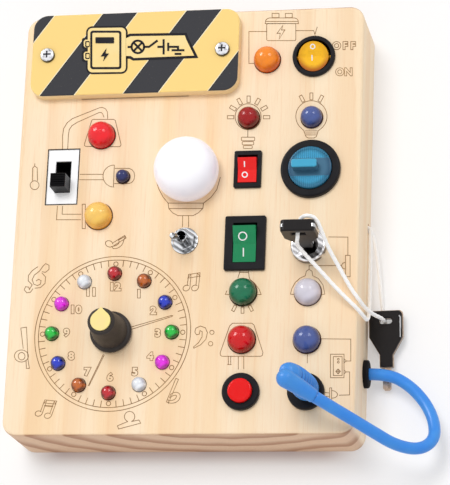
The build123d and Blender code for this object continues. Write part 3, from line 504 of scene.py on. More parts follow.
class Link:
    # a node's outgoing socket, so that shader maths can be written as sums
    def __init__(self, shading, socket):
        self.shading = shading
        self.socket = socket

    def math(self, operation, *values):
        return self.shading.node("ShaderNodeMath", {"operation": operation}, dict(enumerate(values)))

    def __add__(self, other):
        return self.math("ADD", self, other)

    def __sub__(self, other):
        return self.math("SUBTRACT", self, other)

    def __rsub__(self, other):
        return self.math("SUBTRACT", other, self)

    def __mul__(self, other):
        return self.math("MULTIPLY", self, other)

    def __truediv__(self, other):
        return self.math("DIVIDE", self, other)

    __radd__ = __add__
    __rmul__ = __mul__

    def plain(self, operation):
        return self.math(operation, self)

    def most(self, other):
        return self.math("MAXIMUM", self, other)

    def least(self, other):
        return self.math("MINIMUM", self, other)

    def step(self, low, high):
        return self.shading.node("ShaderNodeMapRange", {"interpolation_type": "SMOOTHSTEP"},
                                 {"Value": self, "From Min": low, "From Max": high})


class Shading:
    # a tree of shader nodes, and one way to add a node to it
    def __init__(self, tree):
        self.tree = tree

    def feed(self, socket, value):
        if isinstance(value, Link):
            self.tree.links.new(value.socket, socket)
        else:
            socket.default_value = value

    def node(self, kind, settings=None, sockets=None, output=0):
        made = self.tree.nodes.new(kind)
        for name, value in (settings or {}).items():
            if name == "stops":
                self.setStops(made.color_ramp, value)
            elif name == "blend":
                made.color_ramp.interpolation = value
            else:
                setattr(made, name, value)
        for name, value in (sockets or {}).items():
            self.feed(made.inputs[name], value)
        return Link(self, made.outputs[output])

    def setStops(self, ramp, stops):
        while len(ramp.elements) < len(stops):
            ramp.elements.new(0.5)
        for element, (place, colour) in zip(ramp.elements, stops):
            element.position = place
            element.color = colour


class Finish(Shading):
    # one material, on the Principled shader
    def __init__(self, name):
        self.material = bpy.data.materials.new(name)
        self.material.use_nodes = True
        super().__init__(self.material.node_tree)
        self.shader = self.tree.nodes["Principled BSDF"]

    def bands(self, value, stops):
        return self.node("ShaderNodeValToRGB", {"blend": "CONSTANT", "stops": stops}, {"Fac": value})

    def place(self, output="Object"):
        return self.node("ShaderNodeTexCoord", output=output)

    def parts(self, vector):
        split = self.node("ShaderNodeSeparateXYZ", sockets={0: vector})
        return [Link(self, output) for output in split.socket.node.outputs]

    def stretched(self, vector, amounts):
        return self.node("ShaderNodeVectorMath", {"operation": "MULTIPLY"}, {0: vector, 1: amounts})

    def noise(self, vector, scale, detail=3, rough=0.55):
        return self.node("ShaderNodeTexNoise", {"noise_dimensions": "3D"},
                         {"Vector": vector, "Scale": scale, "Detail": detail, "Roughness": rough})

    def mixed(self, factor, first, second):
        return self.node("ShaderNodeMix", {"data_type": "RGBA"}, {0: factor, 6: first, 7: second}, output=2)

    def bump(self, height, strength, distance):
        return self.node("ShaderNodeBump",
                         sockets={"Height": height, "Strength": strength, "Distance": distance})

    def surface(self, **sockets):
        for name, value in sockets.items():
            self.feed(self.shader.inputs[name.replace("_", " ")], value)
        return self.material


def wear(*pieces, finish):
    # puts a finish on nodes, by name, or on new pieces
    for piece in pieces:
        mesh = nodes[piece].data if isinstance(piece, str) else piece.data
        if not mesh.materials:
            mesh.materials.append(finish)
        for index in range(len(mesh.materials)):
            mesh.materials[index] = finish


pine = {
    "pale": paint(255, 232, 200),
    "honey": paint(251, 219, 176),
    "right": paint(254, 232, 200),
    "peach": paint(241, 196, 148),
    "endPale": paint(228, 192, 160),
    "endBand": paint(176, 126, 94),
    "heart": (0.030, 0.105),    # x and z of the line that the growth rings go round
    "ringPitch": 0.0185,
    "waver": 0.022,
    "slow": 22,                 # how close together the rings' wavers lie
    "slowStretch": (1, 0.08, 0.7),
    # each kind of streak: its stretch, how close together it lies, its detail and roughness, and then
    # the span of it that shows, and how much
    "broad": ((1, 0.05, 1), 52, 3, 0.55, (0.40, 0.70), 1.0),
    "fine": ((1, 0.03, 1), 640, 4, 0.6, (0.50, 0.74), 0.34),
    "hair": ((1, 0.05, 1), 1900, 2, 0.6, (0.52, 0.76), 0.24),
    "pores": ((1, 0.2, 1), 900, 3, 0.7, (0.45, 0.8), 0.22),
    "late": (0.30, 0.85),       # how much the dark of the rings shows on the faces and at the ends
    "rightSpan": (0.02, 0.095),     # the places where the paler right edge begins and is full
    "rightShare": 0.7,
    "ringRise": (0.34, 0.84),       # the shares of a ring where its dark comes in, and where it goes
    "ringFall": (0.90, 1.0),
    "endFacing": (0.35, 0.75),      # how far a side has to face up or down the board to look like end grain
    "shine": 0.25,
}


def streaks(wood, place, kind):
    # one kind of streak in the wood, and how much of it shows
    stretch, pitch, detail, rough, span, share = pine[kind]
    streak = wood.noise(wood.stretched(place, stretch), pitch, detail, rough)
    return streak, streak.step(*span) * share


def pineFinish():
    wood = Finish("pine")
    place = wood.place()
    x, _, z = wood.parts(place)
    slow = wood.noise(wood.stretched(place, pine["slowStretch"]), pine["slow"], 2)
    fine, fineShown = streaks(wood, place, "fine")
    _, hairShown = streaks(wood, place, "hair")
    _, broadShown = streaks(wood, place, "broad")
    _, poresShown = streaks(wood, place, "pores")
    heartX, heartZ = pine["heart"]
    across = x - heartX
    depth = z - heartZ
    reach = (across * across + depth * depth).plain("SQRT")
    ring = ((reach + (slow - 0.5) * pine["waver"]) / pine["ringPitch"]).plain("FRACT")
    late = ring.step(*pine["ringRise"]) * (1 - ring.step(*pine["ringFall"]))
    lateFace, lateEnd = pine["late"]

    faceColour = wood.mixed(broadShown, pine["pale"], pine["honey"])
    faceColour = wood.mixed(x.step(*pine["rightSpan"]) * pine["rightShare"], faceColour, pine["right"])
    for shown in (late * lateFace, fineShown, hairShown):
        faceColour = wood.mixed(shown, faceColour, pine["peach"])
    endColour = wood.mixed(late * lateEnd, pine["endPale"], pine["endBand"])
    endColour = wood.mixed(poresShown, endColour, pine["endBand"])
    facing = wood.parts(wood.place("Normal"))[1].plain("ABSOLUTE").step(*pine["endFacing"])
    colour = wood.mixed(facing, faceColour, endColour)
    wood.surface(Specular_IOR_Level=pine["shine"])
    return wood.surface(
        Base_Color=colour,
        Roughness=0.44 + fine * 0.22,
        Normal=wood.bump(fine * 0.6 + late * 0.4, 0.10, 0.0004),
    )


plywood = {
    "pale": paint(226, 192, 148),
    "dark": paint(204, 164, 118),
    "stretch": (0.06, 1, 1),
    "pitch": 320,
}


def plywoodFinish():
    ply = Finish("panelWood")
    place = ply.place()
    grain = ply.noise(ply.stretched(place, plywood["stretch"]), plywood["pitch"], 4)
    colour = ply.mixed(grain.step(0.3, 0.75), plywood["pale"], plywood["dark"])
    return ply.surface(
        Base_Color=colour,
        Roughness=0.6 + grain * 0.2,
        Normal=ply.bump(grain, 0.15, 0.0003),
    )


hazard = {
    # two dots on the left edge of one dark stripe, its right edge at the bottom, and the next one's left edge
    "edgeBottom": (39.9, 95.5),
    "edgeTop": (106.8, 9.0),
    "rightBottom": (74.0, 94.5),
    "nextBottom": (122.8, 93.9),
    "yellow": paint(255, 219, 138),
    "dark": paint(60, 60, 64),
    "outline": paint(34, 33, 36),
    "hairline": paint(250, 238, 205),
    "side": paint(255, 230, 180),
    "sideDark": paint(244, 208, 156),
    "line": 0.35 * mm,
    "hair": 0.455 * mm,
    "worn": ((0.62, 0.8), 0.12),    # the span of the specks that show, and how much
    "layers": ((0.4, 0.7), 0.4),    # and the same for the layers along its sides
    "shine": 0.12,
}


def hazardFinish():
    top = topOf("hazard_plate")
    spot = onLevel(top)
    bottom = spot(hazard["edgeBottom"])
    along = (spot(hazard["edgeTop"]) - bottom).normalized()
    across = Vector((along.y, -along.x, 0))
    period = (spot(hazard["nextBottom"]) - bottom).dot(across)
    share = (spot(hazard["rightBottom"]) - bottom).dot(across) / period

    card = Finish("hazardPrint")
    place = card.place()
    x, y, _ = card.parts(place)
    turn = ((x * across.x + y * across.y - bottom.dot(across)) / period).plain("FRACT")
    line = hazard["line"] / period
    hair = hazard["hair"] / period
    stripes = card.bands(turn, [
        (0.0, hazard["outline"]), (line, hazard["dark"]), (share - line, hazard["outline"]),
        (share, hazard["hairline"]), (share + hair, hazard["yellow"]), (1 - hair, hazard["hairline"]),
    ])
    speck = card.noise(place, 900, 4, 0.7)
    facing = card.parts(card.place("Normal"))[2].step(0.5, 0.7)
    wornSpan, wornShare = hazard["worn"]
    wornPrint = card.mixed(speck.step(*wornSpan) * wornShare, stripes, hazard["hairline"])
    layers = card.noise(card.stretched(place, (0.3, 0.3, 4)), 420, 2)
    layerSpan, layerShare = hazard["layers"]
    side = card.mixed(layers.step(*layerSpan) * layerShare, hazard["side"], hazard["sideDark"])
    card.surface(Specular_IOR_Level=hazard["shine"])
    return card.surface(
        Base_Color=card.mixed(facing, side, wornPrint),
        Roughness=0.38 + speck * 0.12,
        Normal=card.bump(speck, 0.05, 0.0002),
    )


def glossPlastic(name, colour, shade, rough=0.16, shine=0.22):
    # a moulded plastic with a faint uneven gloss
    made = Finish(name)
    place = made.place()
    cloud = made.noise(place, 240, 3)
    mixed = made.mixed(cloud * 0.35, colour, shade)
    made.surface(Specular_IOR_Level=shine)
    return made.surface(
        Base_Color=mixed,
        Roughness=rough + cloud * 0.08,
        Normal=made.bump(made.noise(place, 1500, 2), 0.06, 0.0002),
    )


lensLook = {
    "border": 1 * mm,           # half the width of the change from one colour to the next
    "paintedGlowLean": (0.5, -0.8),   # how much the painted glow faces right, and up
    "paintedGlowRise": (0.25, 0.55),
    "paintedGlowFall": (0.6, 0.85),
    "saturation": 1.05,         # of the painted glow, and how bright it is
    "brightness": 1.5,
    "swirl": 240,
    "swirlSpan": (0.4, 0.9),
    "swirlShare": 0.08,
}


def lensFinish(name, pairs, height, shine=0.4, glow=0.0, glint=0.28, rimShade=0.6, rimShadeSpan=(0.15, 0.7)):
    # pairs are (colour, painted shade), and for the next ones also a border and the side of it that they colour;
    # the painted shade darkens the foot and the rim, and a painted glow lights a patch low on the right
    lens = Finish(name)
    place = lens.place()
    x, y, z = lens.parts(place)
    colour, shade = pairs[0]
    for nextColour, nextPaintedShade, border, way in pairs[1:]:
        span = border - lensLook["border"], border + lensLook["border"]
        side = x.step(*span) if way == "right" else 1 - y.step(*span)
        colour = lens.mixed(side, colour, nextColour)
        shade = lens.mixed(side, shade, nextPaintedShade)
    # painted shade: the lens darkens towards its foot
    mixed = lens.mixed(z.step(boardTop, boardTop + height), shade, colour)
    normalX, normalY, normalZ = lens.parts(lens.place("Normal"))
    right, up = lensLook["paintedGlowLean"]
    lean = normalX * right + normalY * up
    paintedGlow = lean.step(*lensLook["paintedGlowRise"]) * (1 - lean.step(*lensLook["paintedGlowFall"]))
    bright = lens.node("ShaderNodeHueSaturation", sockets={
        "Color": colour,
        "Saturation": lensLook["saturation"],
        "Value": lensLook["brightness"],
    })
    # painted shade round the rim
    mixed = lens.mixed((1 - normalZ).step(*rimShadeSpan) * rimShade, mixed, shade)
    # painted glow: a lighter patch low on the right, as strong as the glint
    mixed = lens.mixed(paintedGlow * glint, mixed, bright)
    swirl = lens.noise(place, lensLook["swirl"], 2)
    mixed = lens.mixed(swirl.step(*lensLook["swirlSpan"]) * lensLook["swirlShare"], mixed, shade)
    lens.surface(Specular_IOR_Level=shine, Emission_Strength=glow)
    if glow:
        lens.surface(Emission_Color=mixed)
    return lens.surface(
        Base_Color=mixed,
        Roughness=0.15 + swirl * 0.06,
        Normal=lens.bump(swirl, 0.02, 0.0003),
    )


plating = {
    "turns": (6.3, 7.7, 4.2, 1.6),      # how fast painted light and dark reflections follow each other round a bent side
    "bands": (1300, 2100, 2),           # and the painted reflection bands across a flat top
    "bandShare": 0.34,
}


def polished(name, bright, dark, rough=0.1, sides=0.4):
    # plating with painted reflections: light and grey bands painted on top, and light and dark painted by turns on its
    # turned and bent sides
    made = Finish(name)
    place = made.place()
    x, y, _ = made.parts(place)
    normalX, normalY, normalZ = made.parts(made.place("Normal"))
    cloud = made.noise(place, 420, 3)
    turnX, turnY, turnZ, turnCloud = plating["turns"]
    bandX, bandY, bandCloud = plating["bands"]
    # painted reflection: light and dark by turns as the sides bend
    paintedReflection = (normalX * turnX + normalY * turnY + normalZ * turnZ + cloud * turnCloud).plain("SINE")
    bands = (x * bandX + y * bandY + cloud * bandCloud).plain("SINE") * plating["bandShare"]
    # painted reflection: flat tops painted lit, with grey bands across them
    top = normalZ.step(0.3, 0.9) * (bands + (1 - plating["bandShare"]))
    lit = top.most(paintedReflection.step(0.1, 0.9) * sides)
    made.surface(Metallic=1.0)
    return made.surface(
        Base_Color=made.mixed(lit, dark, bright),
        Roughness=rough + cloud * 0.08,
        Normal=made.bump(cloud, 0.05, 0.0002),
    )


def metal(name, bright, dark, rough, brushed=(1, 1, 1)):
    made = Finish(name)
    place = made.place()
    streak = made.noise(made.stretched(place, brushed), 700, 4, 0.65)
    made.surface(Metallic=1.0)
    return made.surface(
        Base_Color=made.mixed(streak.step(0.3, 0.8), bright, dark),
        Roughness=rough + streak * 0.14,
        Normal=made.bump(streak, 0.08, 0.0002),
    )


def mattePlastic(name, colour, shade, rough=0.5, shine=0.2, scale=1400, glow=0.0):
    made = Finish(name)
    place = made.place()
    grain = made.noise(place, scale, 3, 0.6)
    cloud = made.noise(place, 90, 2)
    made.surface(Specular_IOR_Level=shine, Emission_Color=colour, Emission_Strength=glow)
    return made.surface(
        Base_Color=made.mixed(cloud.step(0.35, 0.75), colour, shade),
        Roughness=rough + grain * 0.15,
        Normal=made.bump(grain, 0.12, 0.0002),
    )


def ridgedFinish(name, colour, deep, axis, pitch, shine=0.3):
    # a plastic with fine ridges across it
    made = Finish(name)
    place = made.place()
    ridge = (made.parts(place)[axis] * (2 * pi / pitch)).plain("SINE") * 0.5 + 0.5
    cloud = made.noise(place, 260, 3)
    mixed = made.mixed(ridge.step(0.1, 0.9) * 0.6, colour, deep)
    made.surface(Specular_IOR_Level=shine)
    return made.surface(
        Base_Color=mixed,
        Roughness=0.2 + cloud * 0.08,
        Normal=made.bump(ridge, 0.4, 0.0002),
    )


def plugFinish():
    # the barrel's blue, with painted shade deeper in the grooves between its ribs
    made = Finish("ribbedBlue")
    place = made.place()
    rise = made.parts(place)[2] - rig.box("plug_body")[0].z
    low, high = plug["ribs"]
    ribbed = rise.step(low - 0.5 * mm, low + 0.5 * mm) * (1 - rise.step(high - mm, high))
    groove = (rise * (2 * pi / plug["ribPitch"])).plain("COSINE").step(-0.3, 0.9) * ribbed
    cloud = made.noise(place, 90, 2)
    colour = made.mixed(cloud.step(0.35, 0.75), plug["blue"], plug["pale"])
    made.surface(Specular_IOR_Level=0.34)
    return made.surface(
        Base_Color=made.mixed(groove * plug["groove"], colour, plug["deep"]),
        Roughness=0.30 + cloud * 0.1,
        Normal=made.bump(made.noise(place, 1400, 3), 0.1, 0.0002),
    )


twine = {
    "white": paint(255, 254, 252),
    "fuzz": paint(240, 236, 234),
    "warm": paint(252, 246, 238),
    "warmShare": 0.3,
    # painted light: the string glows a little to stay white
    "glow": (1, 0.98, 0.98, 1),
    "glowStrength": 0.10,
}


def stringFinish():
    thread = Finish("whiteString")
    place = thread.place()
    fuzz = thread.noise(place, 2600, 4, 0.7)
    cloud = thread.noise(place, 120, 2)
    colour = thread.mixed(fuzz.step(0.35, 0.9), twine["white"], twine["fuzz"])
    colour = thread.mixed(cloud.step(0.5, 0.8) * twine["warmShare"], colour, twine["warm"])
    thread.surface(Sheen_Weight=0.35, Sheen_Roughness=0.5)
    thread.surface(Emission_Color=twine["glow"], Emission_Strength=twine["glowStrength"])
    return thread.surface(
        Base_Color=colour,
        Roughness=0.86 + fuzz * 0.1,
        Normal=thread.bump(fuzz, 0.35, 0.0003),
    )


cell = {
    "black": paint(52, 54, 60),
    "shade": paint(40, 42, 48),
    "copper": paint(188, 132, 64),
}


def cellFinish():
    # a battery's sleeve, dark on one side of its middle and copper on the other
    made = Finish("cellSleeve")
    place = made.place()
    middle = middleOf("battery_cells").x
    cloud = made.noise(place, 300, 3)
    dark = made.mixed(cloud * 0.4, cell["black"], cell["shade"])
    mixed = made.mixed(made.parts(place)[0].step(middle, middle + mm), dark, cell["copper"])
    made.surface(Specular_IOR_Level=0.3)
    return made.surface(
        Base_Color=mixed,
        Roughness=0.22 + cloud * 0.08,
        Normal=made.bump(cloud, 0.04, 0.0003),
    )


amberKey = {
    "amber": paint(254, 192, 34),
    "deep": paint(176, 92, 14),
    "edge": (0.0045, 0.0085),   # the painted shade comes in between these radii
    "lower": (-0.006, 0.003),   # and is strongest below these heights on the face
    "shine": 0.24,
}


def amberKeyFinish():
    # see-through amber, with painted shade that darkens it at its edges, most low down
    made = Finish("amberKey")
    place = made.place()
    x, y, _ = made.parts(place)
    centre = middleOf("round_rocker_key")
    across = x - centre.x
    up = y - centre.y
    edge = (across * across + up * up).plain("SQRT").step(*amberKey["edge"])
    lower = 1 - up.step(*amberKey["lower"])
    cloud = made.noise(place, 500, 3)
    # painted shade at the edges, strongest low down
    deep = (edge * (0.3 + lower * 0.7)).least(1.0)
    colour = made.mixed(deep, amberKey["amber"], amberKey["deep"])
    colour = made.mixed(cloud.step(0.5, 0.8) * 0.2, colour, amberKey["deep"])
    made.surface(Specular_IOR_Level=amberKey["shine"])
    return made.surface(
        Base_Color=colour,
        Roughness=0.16 + cloud * 0.06,
        Normal=made.bump(cloud, 0.05, 0.0003),
    )


screw = {
    "bright": paint(238, 238, 242),
    "grey": paint(150, 150, 156),
    # the colour of the painted shade in the driver cross
    "cross": paint(70, 70, 74),
    "crossShadeSpan": (-1.1 * mm, -0.45 * mm),   # how far from the head's top the painted shade of the cross is full, and where it ends
}


def screwFinish():
    # plated heads, with painted shade darkening the driver cross
    made = Finish("plateScrew")
    place = made.place()
    below = made.parts(place)[2] - topOf("hazard_plate_screws")
    cloud = made.noise(place, 600, 3)
    bright = made.mixed(cloud.step(0.45, 0.7), screw["bright"], screw["grey"])
    made.surface(Metallic=1.0)
    return made.surface(
        Base_Color=made.mixed(below.step(*screw["crossShadeSpan"]), screw["cross"], bright),
        Roughness=0.12 + cloud * 0.1,
        Normal=made.bump(cloud, 0.06, 0.0002),
    )


blackPlastic = mattePlastic("blackPlastic", paint(30, 29, 32), paint(22, 21, 25), rough=0.34, shine=0.12)
blackRubber = mattePlastic("blackRubber", paint(26, 25, 27), paint(18, 17, 20), rough=0.62, shine=0.1)
chrome = polished("chrome", paint(240, 242, 246), paint(30, 30, 34), rough=0.08)
steel = metal("steel", paint(205, 206, 208), paint(160, 161, 164), 0.22, (1, 0.1, 1))
brass = metal("brass", paint(222, 190, 108), paint(176, 140, 66), 0.24)
bronze = metal("bronzeBlade", paint(216, 192, 170), paint(150, 124, 104), 0.3)
engraved = mattePlastic("burntLine", paint(142, 104, 68), paint(172, 134, 92), rough=0.85, scale=2400)
# painted shade round the lamps' holes
holeShade = mattePlastic("holeShadeRim", paint(84, 58, 40), paint(112, 82, 58), rough=0.9)
whiteMark = mattePlastic("whiteMark", paint(250, 250, 250), paint(238, 238, 240), rough=0.45)
keyGrip = glossPlastic("keyGrip", paint(30, 28, 29), paint(42, 37, 35), rough=0.3, shine=0.14)
cotton = stringFinish()

# wood, the plate, and what is behind the face
wear("wooden_board", finish=pineFinish())
wear("back_panel", finish=plywoodFinish())
wear("hazard_plate", finish=hazardFinish())
wear("hazard_plate_screws", finish=screwFinish())
wear("back_panel_screws", "panel_nuts", "switch_terminals", finish=steel)
wear("battery_contacts", finish=brass)
wear("battery_cells", finish=cellFinish())
wear("battery_tray", finish=mattePlastic("trayPlastic", paint(226, 194, 150), paint(214, 182, 140)))
wear("circuit_boards", finish=mattePlastic("circuitGreen", paint(28, 104, 62), paint(20, 84, 50), rough=0.4))
wear("lamp_leds", finish=glossPlastic("clearLed", paint(236, 240, 244), paint(206, 214, 222)))
wear("wiring", finish=mattePlastic("wireSleeve", paint(190, 40, 40), paint(40, 42, 48), rough=0.45))

# switches, the key and its lock
wear("jack_socket", "push_button_body", "red_rocker_body", "green_rocker_body", "round_rocker_body",
     "rotary_switch_body", "slide_switch_body", finish=blackPlastic)
wear("toggle_body", "toggle_lever", "toggle_nut_and_washer", finish=chrome)
wear("lock_body", finish=polished("brightPlating", paint(246, 244, 246), paint(110, 108, 110), sides=0.9))
wear("lock_core", finish=polished("darkPlating", paint(96, 92, 90), paint(22, 20, 20)))
wear("key_blade", "plug_pin", "selector_body", "selector_shaft", finish=steel)
wear("key_grip", "spare_key_grip", finish=keyGrip)
wear("spare_key_blade", finish=bronze)
wear("selector_knob", finish=mattePlastic("softKnob", paint(50, 45, 42), paint(66, 60, 58), rough=0.42))
wear("selector_knob_cap", finish=mattePlastic("creamCap", paint(254, 236, 150), paint(253, 226, 160),
                                              rough=0.42))
# the plate's glow is painted light that keeps it white
wear("slide_switch_plate", finish=mattePlastic("palePlate", paint(254, 254, 254), paint(246, 246, 248),
                                               rough=0.4, glow=0.12))
wear("slide_switch_lever", finish=ridgedFinish("ridgedBlack", paint(18, 17, 19), paint(5, 5, 7), 1, 0.0011,
                                               shine=0.06))
wear("push_button_cap", finish=glossPlastic("redButton", paint(240, 12, 14), paint(214, 6, 10)))
wear("red_rocker_key", finish=glossPlastic("redKey", paint(244, 36, 34), paint(216, 24, 26)))
wear("round_rocker_key", finish=amberKeyFinish())
wear("green_rocker_key", finish=ridgedFinish("greenKey", paint(16, 152, 94), paint(4, 82, 48), 1, 0.00056))

# the cable, its plug, and the string
barrel, boot = plugPieces
wear(barrel, finish=plugFinish())
wear(boot, finish=mattePlastic("bluePlug", plug["blue"], plug["pale"], rough=0.30, shine=0.34))
wear(cablePiece, finish=mattePlastic("blueCable", paint(52, 138, 232), paint(64, 148, 232), rough=0.26,
                                     shine=0.4))
wear("cable_grommet", finish=blackRubber)
wear("string_strands", *stringPieces, finish=cotton)

lenses = {
    # each lens's colours, its painted shades and borders, and how tall the painted shade at its foot is
    "orange_lamp_lens": ([(paint(252, 142, 34), paint(214, 84, 8))], 7 * mm),
    "yellow_lamp_lens": ([(paint(254, 206, 106), paint(236, 164, 58))], 6 * mm),
    "green_lamp_lens": ([(paint(22, 116, 80), paint(2, 56, 32))], 7 * mm),
    "white_lamp_lens": ([(paint(220, 215, 226), paint(184, 178, 194))], 6 * mm),
    "red_lamp_lenses": ([
        (paint(246, 34, 44), paint(200, 10, 26)),
        (paint(162, 4, 8), paint(94, 1, 3), 0, "right"),
        (paint(214, 14, 20), paint(136, 2, 8), 0, "below"),
    ], 7 * mm),
    "blue_lamp_lenses": ([
        (paint(44, 50, 104), paint(16, 20, 60)),
        (paint(78, 95, 157), paint(36, 45, 98), 0, "right"),
    ], 6 * mm),
}
globeColours = paint(252, 251, 255), paint(240, 236, 248)
beads = {
    # the clock's lamps: the colour and the painted shade of each
    "red": (paint(200, 12, 30), paint(92, 0, 8)),
    "orange": (paint(202, 102, 24), paint(94, 34, 4)),
    "blue": (paint(12, 50, 204), paint(2, 6, 78)),
    "green": (paint(18, 200, 62), paint(2, 82, 24)),
    "magenta": (paint(236, 36, 234), paint(190, 24, 190)),
    "white": (paint(242, 245, 250), paint(198, 204, 216)),
}
for node, (pairs, height) in lenses.items():
    wear(node, finish=lensFinish(f"{node.split('_')[0]}Lens", pairs, height))
# the globe's glow is painted light that keeps it white
wear("globe_lamp_lens", finish=lensFinish("globeLens", [globeColours], topOf("globe_lamp_lens") - boardTop,
                                          glow=0.2, glint=0))
for name, pair in beads.items():
    node = f"clock_leds_{name}"
    wear(node, finish=lensFinish(f"{name}Bead", [pair], topOf(node) - boardTop, shine=0.7, glint=0.5,
                                 rimShade=0.9, rimShadeSpan=(0.03, 0.45)))

rotary = {
    "disc": paint(84, 190, 228),
    "deep": paint(36, 122, 164),
    "band": paint(66, 112, 140),
    "grip": paint(66, 168, 206),
    # the painted shade that darkens the disc towards its rim
    "rimShade": paint(22, 70, 102),
    "rimStart": 0.0080,
    "rimEnd": 0.0112,
    "rimShare": 0.7,
    "ridgePitch": 0.0011,
    "ridgeShare": 0.8,
    "bandHalf": 0.0052,
    "bandEdge": 0.3 * mm,
    "gripFoot": 1.2 * mm,   # how far below the grip bar's top its colour begins, and is full
    "gripFull": 0.4 * mm,
}


def rotaryFinish():
    knob = Finish("cyanKnob")
    place = knob.place()
    x, y, z = knob.parts(place)
    centre = middleOf("rotary_switch_knob")
    top = topOf("rotary_switch_knob")
    cloud = knob.noise(place, 260, 3)
    ridge = (x * (2 * pi / rotary["ridgePitch"])).plain("SINE").step(-0.4, 0.6)
    ribbed = knob.mixed(ridge * rotary["ridgeShare"], rotary["disc"], rotary["deep"])
    bandHalf = rotary["bandHalf"]
    band = 1 - (y - centre.y).plain("ABSOLUTE").step(bandHalf - rotary["bandEdge"], bandHalf)
    colour = knob.mixed(band, ribbed, rotary["band"])
    across = x - centre.x
    up = y - centre.y
    # painted shade towards the disc's rim
    rimShade = (across * across + up * up).plain("SQRT").step(rotary["rimStart"], rotary["rimEnd"])
    colour = knob.mixed(rimShade * rotary["rimShare"], colour, rotary["rimShade"])
    lifted = z.step(top - rotary["gripFoot"], top - rotary["gripFull"])
    colour = knob.mixed(lifted, colour, rotary["grip"])
    knob.surface(Specular_IOR_Level=0.3)
    return knob.surface(
        Base_Color=colour,
        Roughness=0.2 + cloud * 0.1,
        Normal=knob.bump(cloud, 0.05, 0.0003),
    )


wear("rotary_switch_knob", finish=rotaryFinish())
print("finishes made")


def arc(centre, radius, start, end, steps=20, squeeze=1.0):
    # dots along an arc, in degrees, anticlockwise as seen, where down is positive
    angles = [radians(start + (end - start) * step / steps) for step in range(steps + 1)]
    return [(centre[0] + radius * cos(a), centre[1] - radius * squeeze * sin(a)) for a in angles]


def opened(*dots):
    return list(dots), False


def closed(*dots):
    return list(dots), True


def circle(centre, radius):
    return closed(*arc(centre, radius, 0, 360, 40)[:-1])


def box(left, top, right, bottom):
    return closed((left, top), (right, top), (right, bottom), (left, bottom))


def roundedBox(left, top, right, bottom, corner):
    dots = []
    for x, y, start in ((right - corner, top + corner, 0), (left + corner, top + corner, 90),
                        (left + corner, bottom - corner, 180), (right - corner, bottom - corner, 270)):
        dots += arc((x, y), corner, start, start + 90, 5)
    return closed(*dots)


def rays(centre, angles, near, far, width):
    # narrow boxes that stand round a centre
    made = []
    for angle in angles:
        out = Vector((cos(radians(angle)), -sin(radians(angle))))
        side = Vector((-out.y, out.x)) * (width / 2)
        middle = Vector(centre)
        made.append(closed(middle + out * near - side, middle + out * far - side,
                           middle + out * far + side, middle + out * near + side))
    return made


lineWork = {
    "width": 0.66,          # in picture dots
    "glyphWidth": 0.62,
    "lift": 0.00006,
    "clockWidth": 0.00040,  # in metres
    "mitre": 0.4,           # keeps the point of a sharp corner short
}


def ribbon(points, loops, width):
    # the two rails of a line of one width, mitred at its corners
    count = len(points)
    flat = [Vector(point) for point in points]
    rails = []
    for index, point in enumerate(flat):
        sides = []
        if loops or index:
            back = point - flat[index - 1]
            sides.append(Vector((-back.y, back.x)).normalized())
        if loops or index + 1 < count:
            on = flat[(index + 1) % count] - point
            sides.append(Vector((-on.y, on.x)).normalized())
        lean = sum(sides, Vector((0, 0))).normalized()
        reach = width / 2 / max(lean.dot(sides[0]), lineWork["mitre"])
        rails.append((point + lean * reach, point - lean * reach))
    return rails


def drawLines(name, lines, width, spot, finish, body):
    places = []
    faces = []
    for points, loops in lines:
        rails = ribbon(points, loops, width)
        start = len(places)
        for left, right in rails:
            places += [spot(left), spot(right)]
        count = len(rails)
        for index in range(count if loops else count - 1):
            a = start + 2 * index
            b = start + 2 * ((index + 1) % count)
            faces.append((a, a + 1, b + 1, b))
    piece = addMesh(name, places, faces)
    wear(piece, finish=finish)
    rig.ride(piece, body)
    return piece


def glyphLoops(text, height):
    # the outlines of a plain letter, number or note, centred, as tall as asked
    curve = bpy.data.curves.new("glyph", "FONT")
    curve.body = text
    curve.fill_mode = "NONE"
    curve.resolution_u = 3
    guide = bpy.data.objects.new("glyph", curve)
    bpy.context.scene.collection.objects.link(guide)
    mesh = bpy.data.meshes.new_from_object(guide)
    after = {}
    for edge in mesh.edges:
        a, b = edge.vertices
        after.setdefault(a, []).append(b)
        after.setdefault(b, []).append(a)
    loops = []
    seen = set()
    for vertex in range(len(mesh.vertices)):
        if vertex in seen:
            continue
        loop = [vertex]
        seen.add(vertex)
        while True:
            ahead = [n for n in after.get(loop[-1], []) if n not in seen]
            if not ahead:
                break
            loop.append(ahead[0])
            seen.add(ahead[0])
        loops.append([mesh.vertices[i].co.to_2d() for i in loop])
    low = [min(p[axis] for loop in loops for p in loop) for axis in range(2)]
    high = [max(p[axis] for loop in loops for p in loop) for axis in range(2)]
    middle = Vector(((low[0] + high[0]) / 2, (low[1] + high[1]) / 2))
    scale = height / (high[1] - low[1])
    bpy.data.objects.remove(guide)
    return [[(p - middle) * scale for p in loop] for loop in loops]


def swollen(loop, others, amount):
    # a loop moved outward, or inward where it is the edge of a hole in a letter
    area = sum(a.cross(b) for a, b in zip(loop, loop[1:] + loop[:1]))
    hole = any(
        min(p.x for p in other) < loop[0].x < max(p.x for p in other)
        and min(p.y for p in other) < loop[0].y < max(p.y for p in other)
        for other in others
    )
    outward = (1 if area < 0 else -1) * (-1 if hole else 1)
    return [rail[0 if outward > 0 else 1] for rail in ribbon(loop, True, 2 * amount)]


def glyph(text, centre, height, bold, turn=0, wide=1.0):
    # the lines of a letter, number or note in picture dots, swollen by bold and turned in degrees
    made = []
    plainLoops = glyphLoops(text, height)
    a = radians(turn)
    for index, plainLoop in enumerate(plainLoops):
        loop = swollen(plainLoop, plainLoops[:index] + plainLoops[index + 1:], bold)
        dots = []
        for point in loop:
            x, y = point.x * wide, point.y
            dots.append((centre[0] + x * cos(a) - y * sin(a), centre[1] - x * sin(a) - y * cos(a)))
        made.append(closed(*dots))
    return made


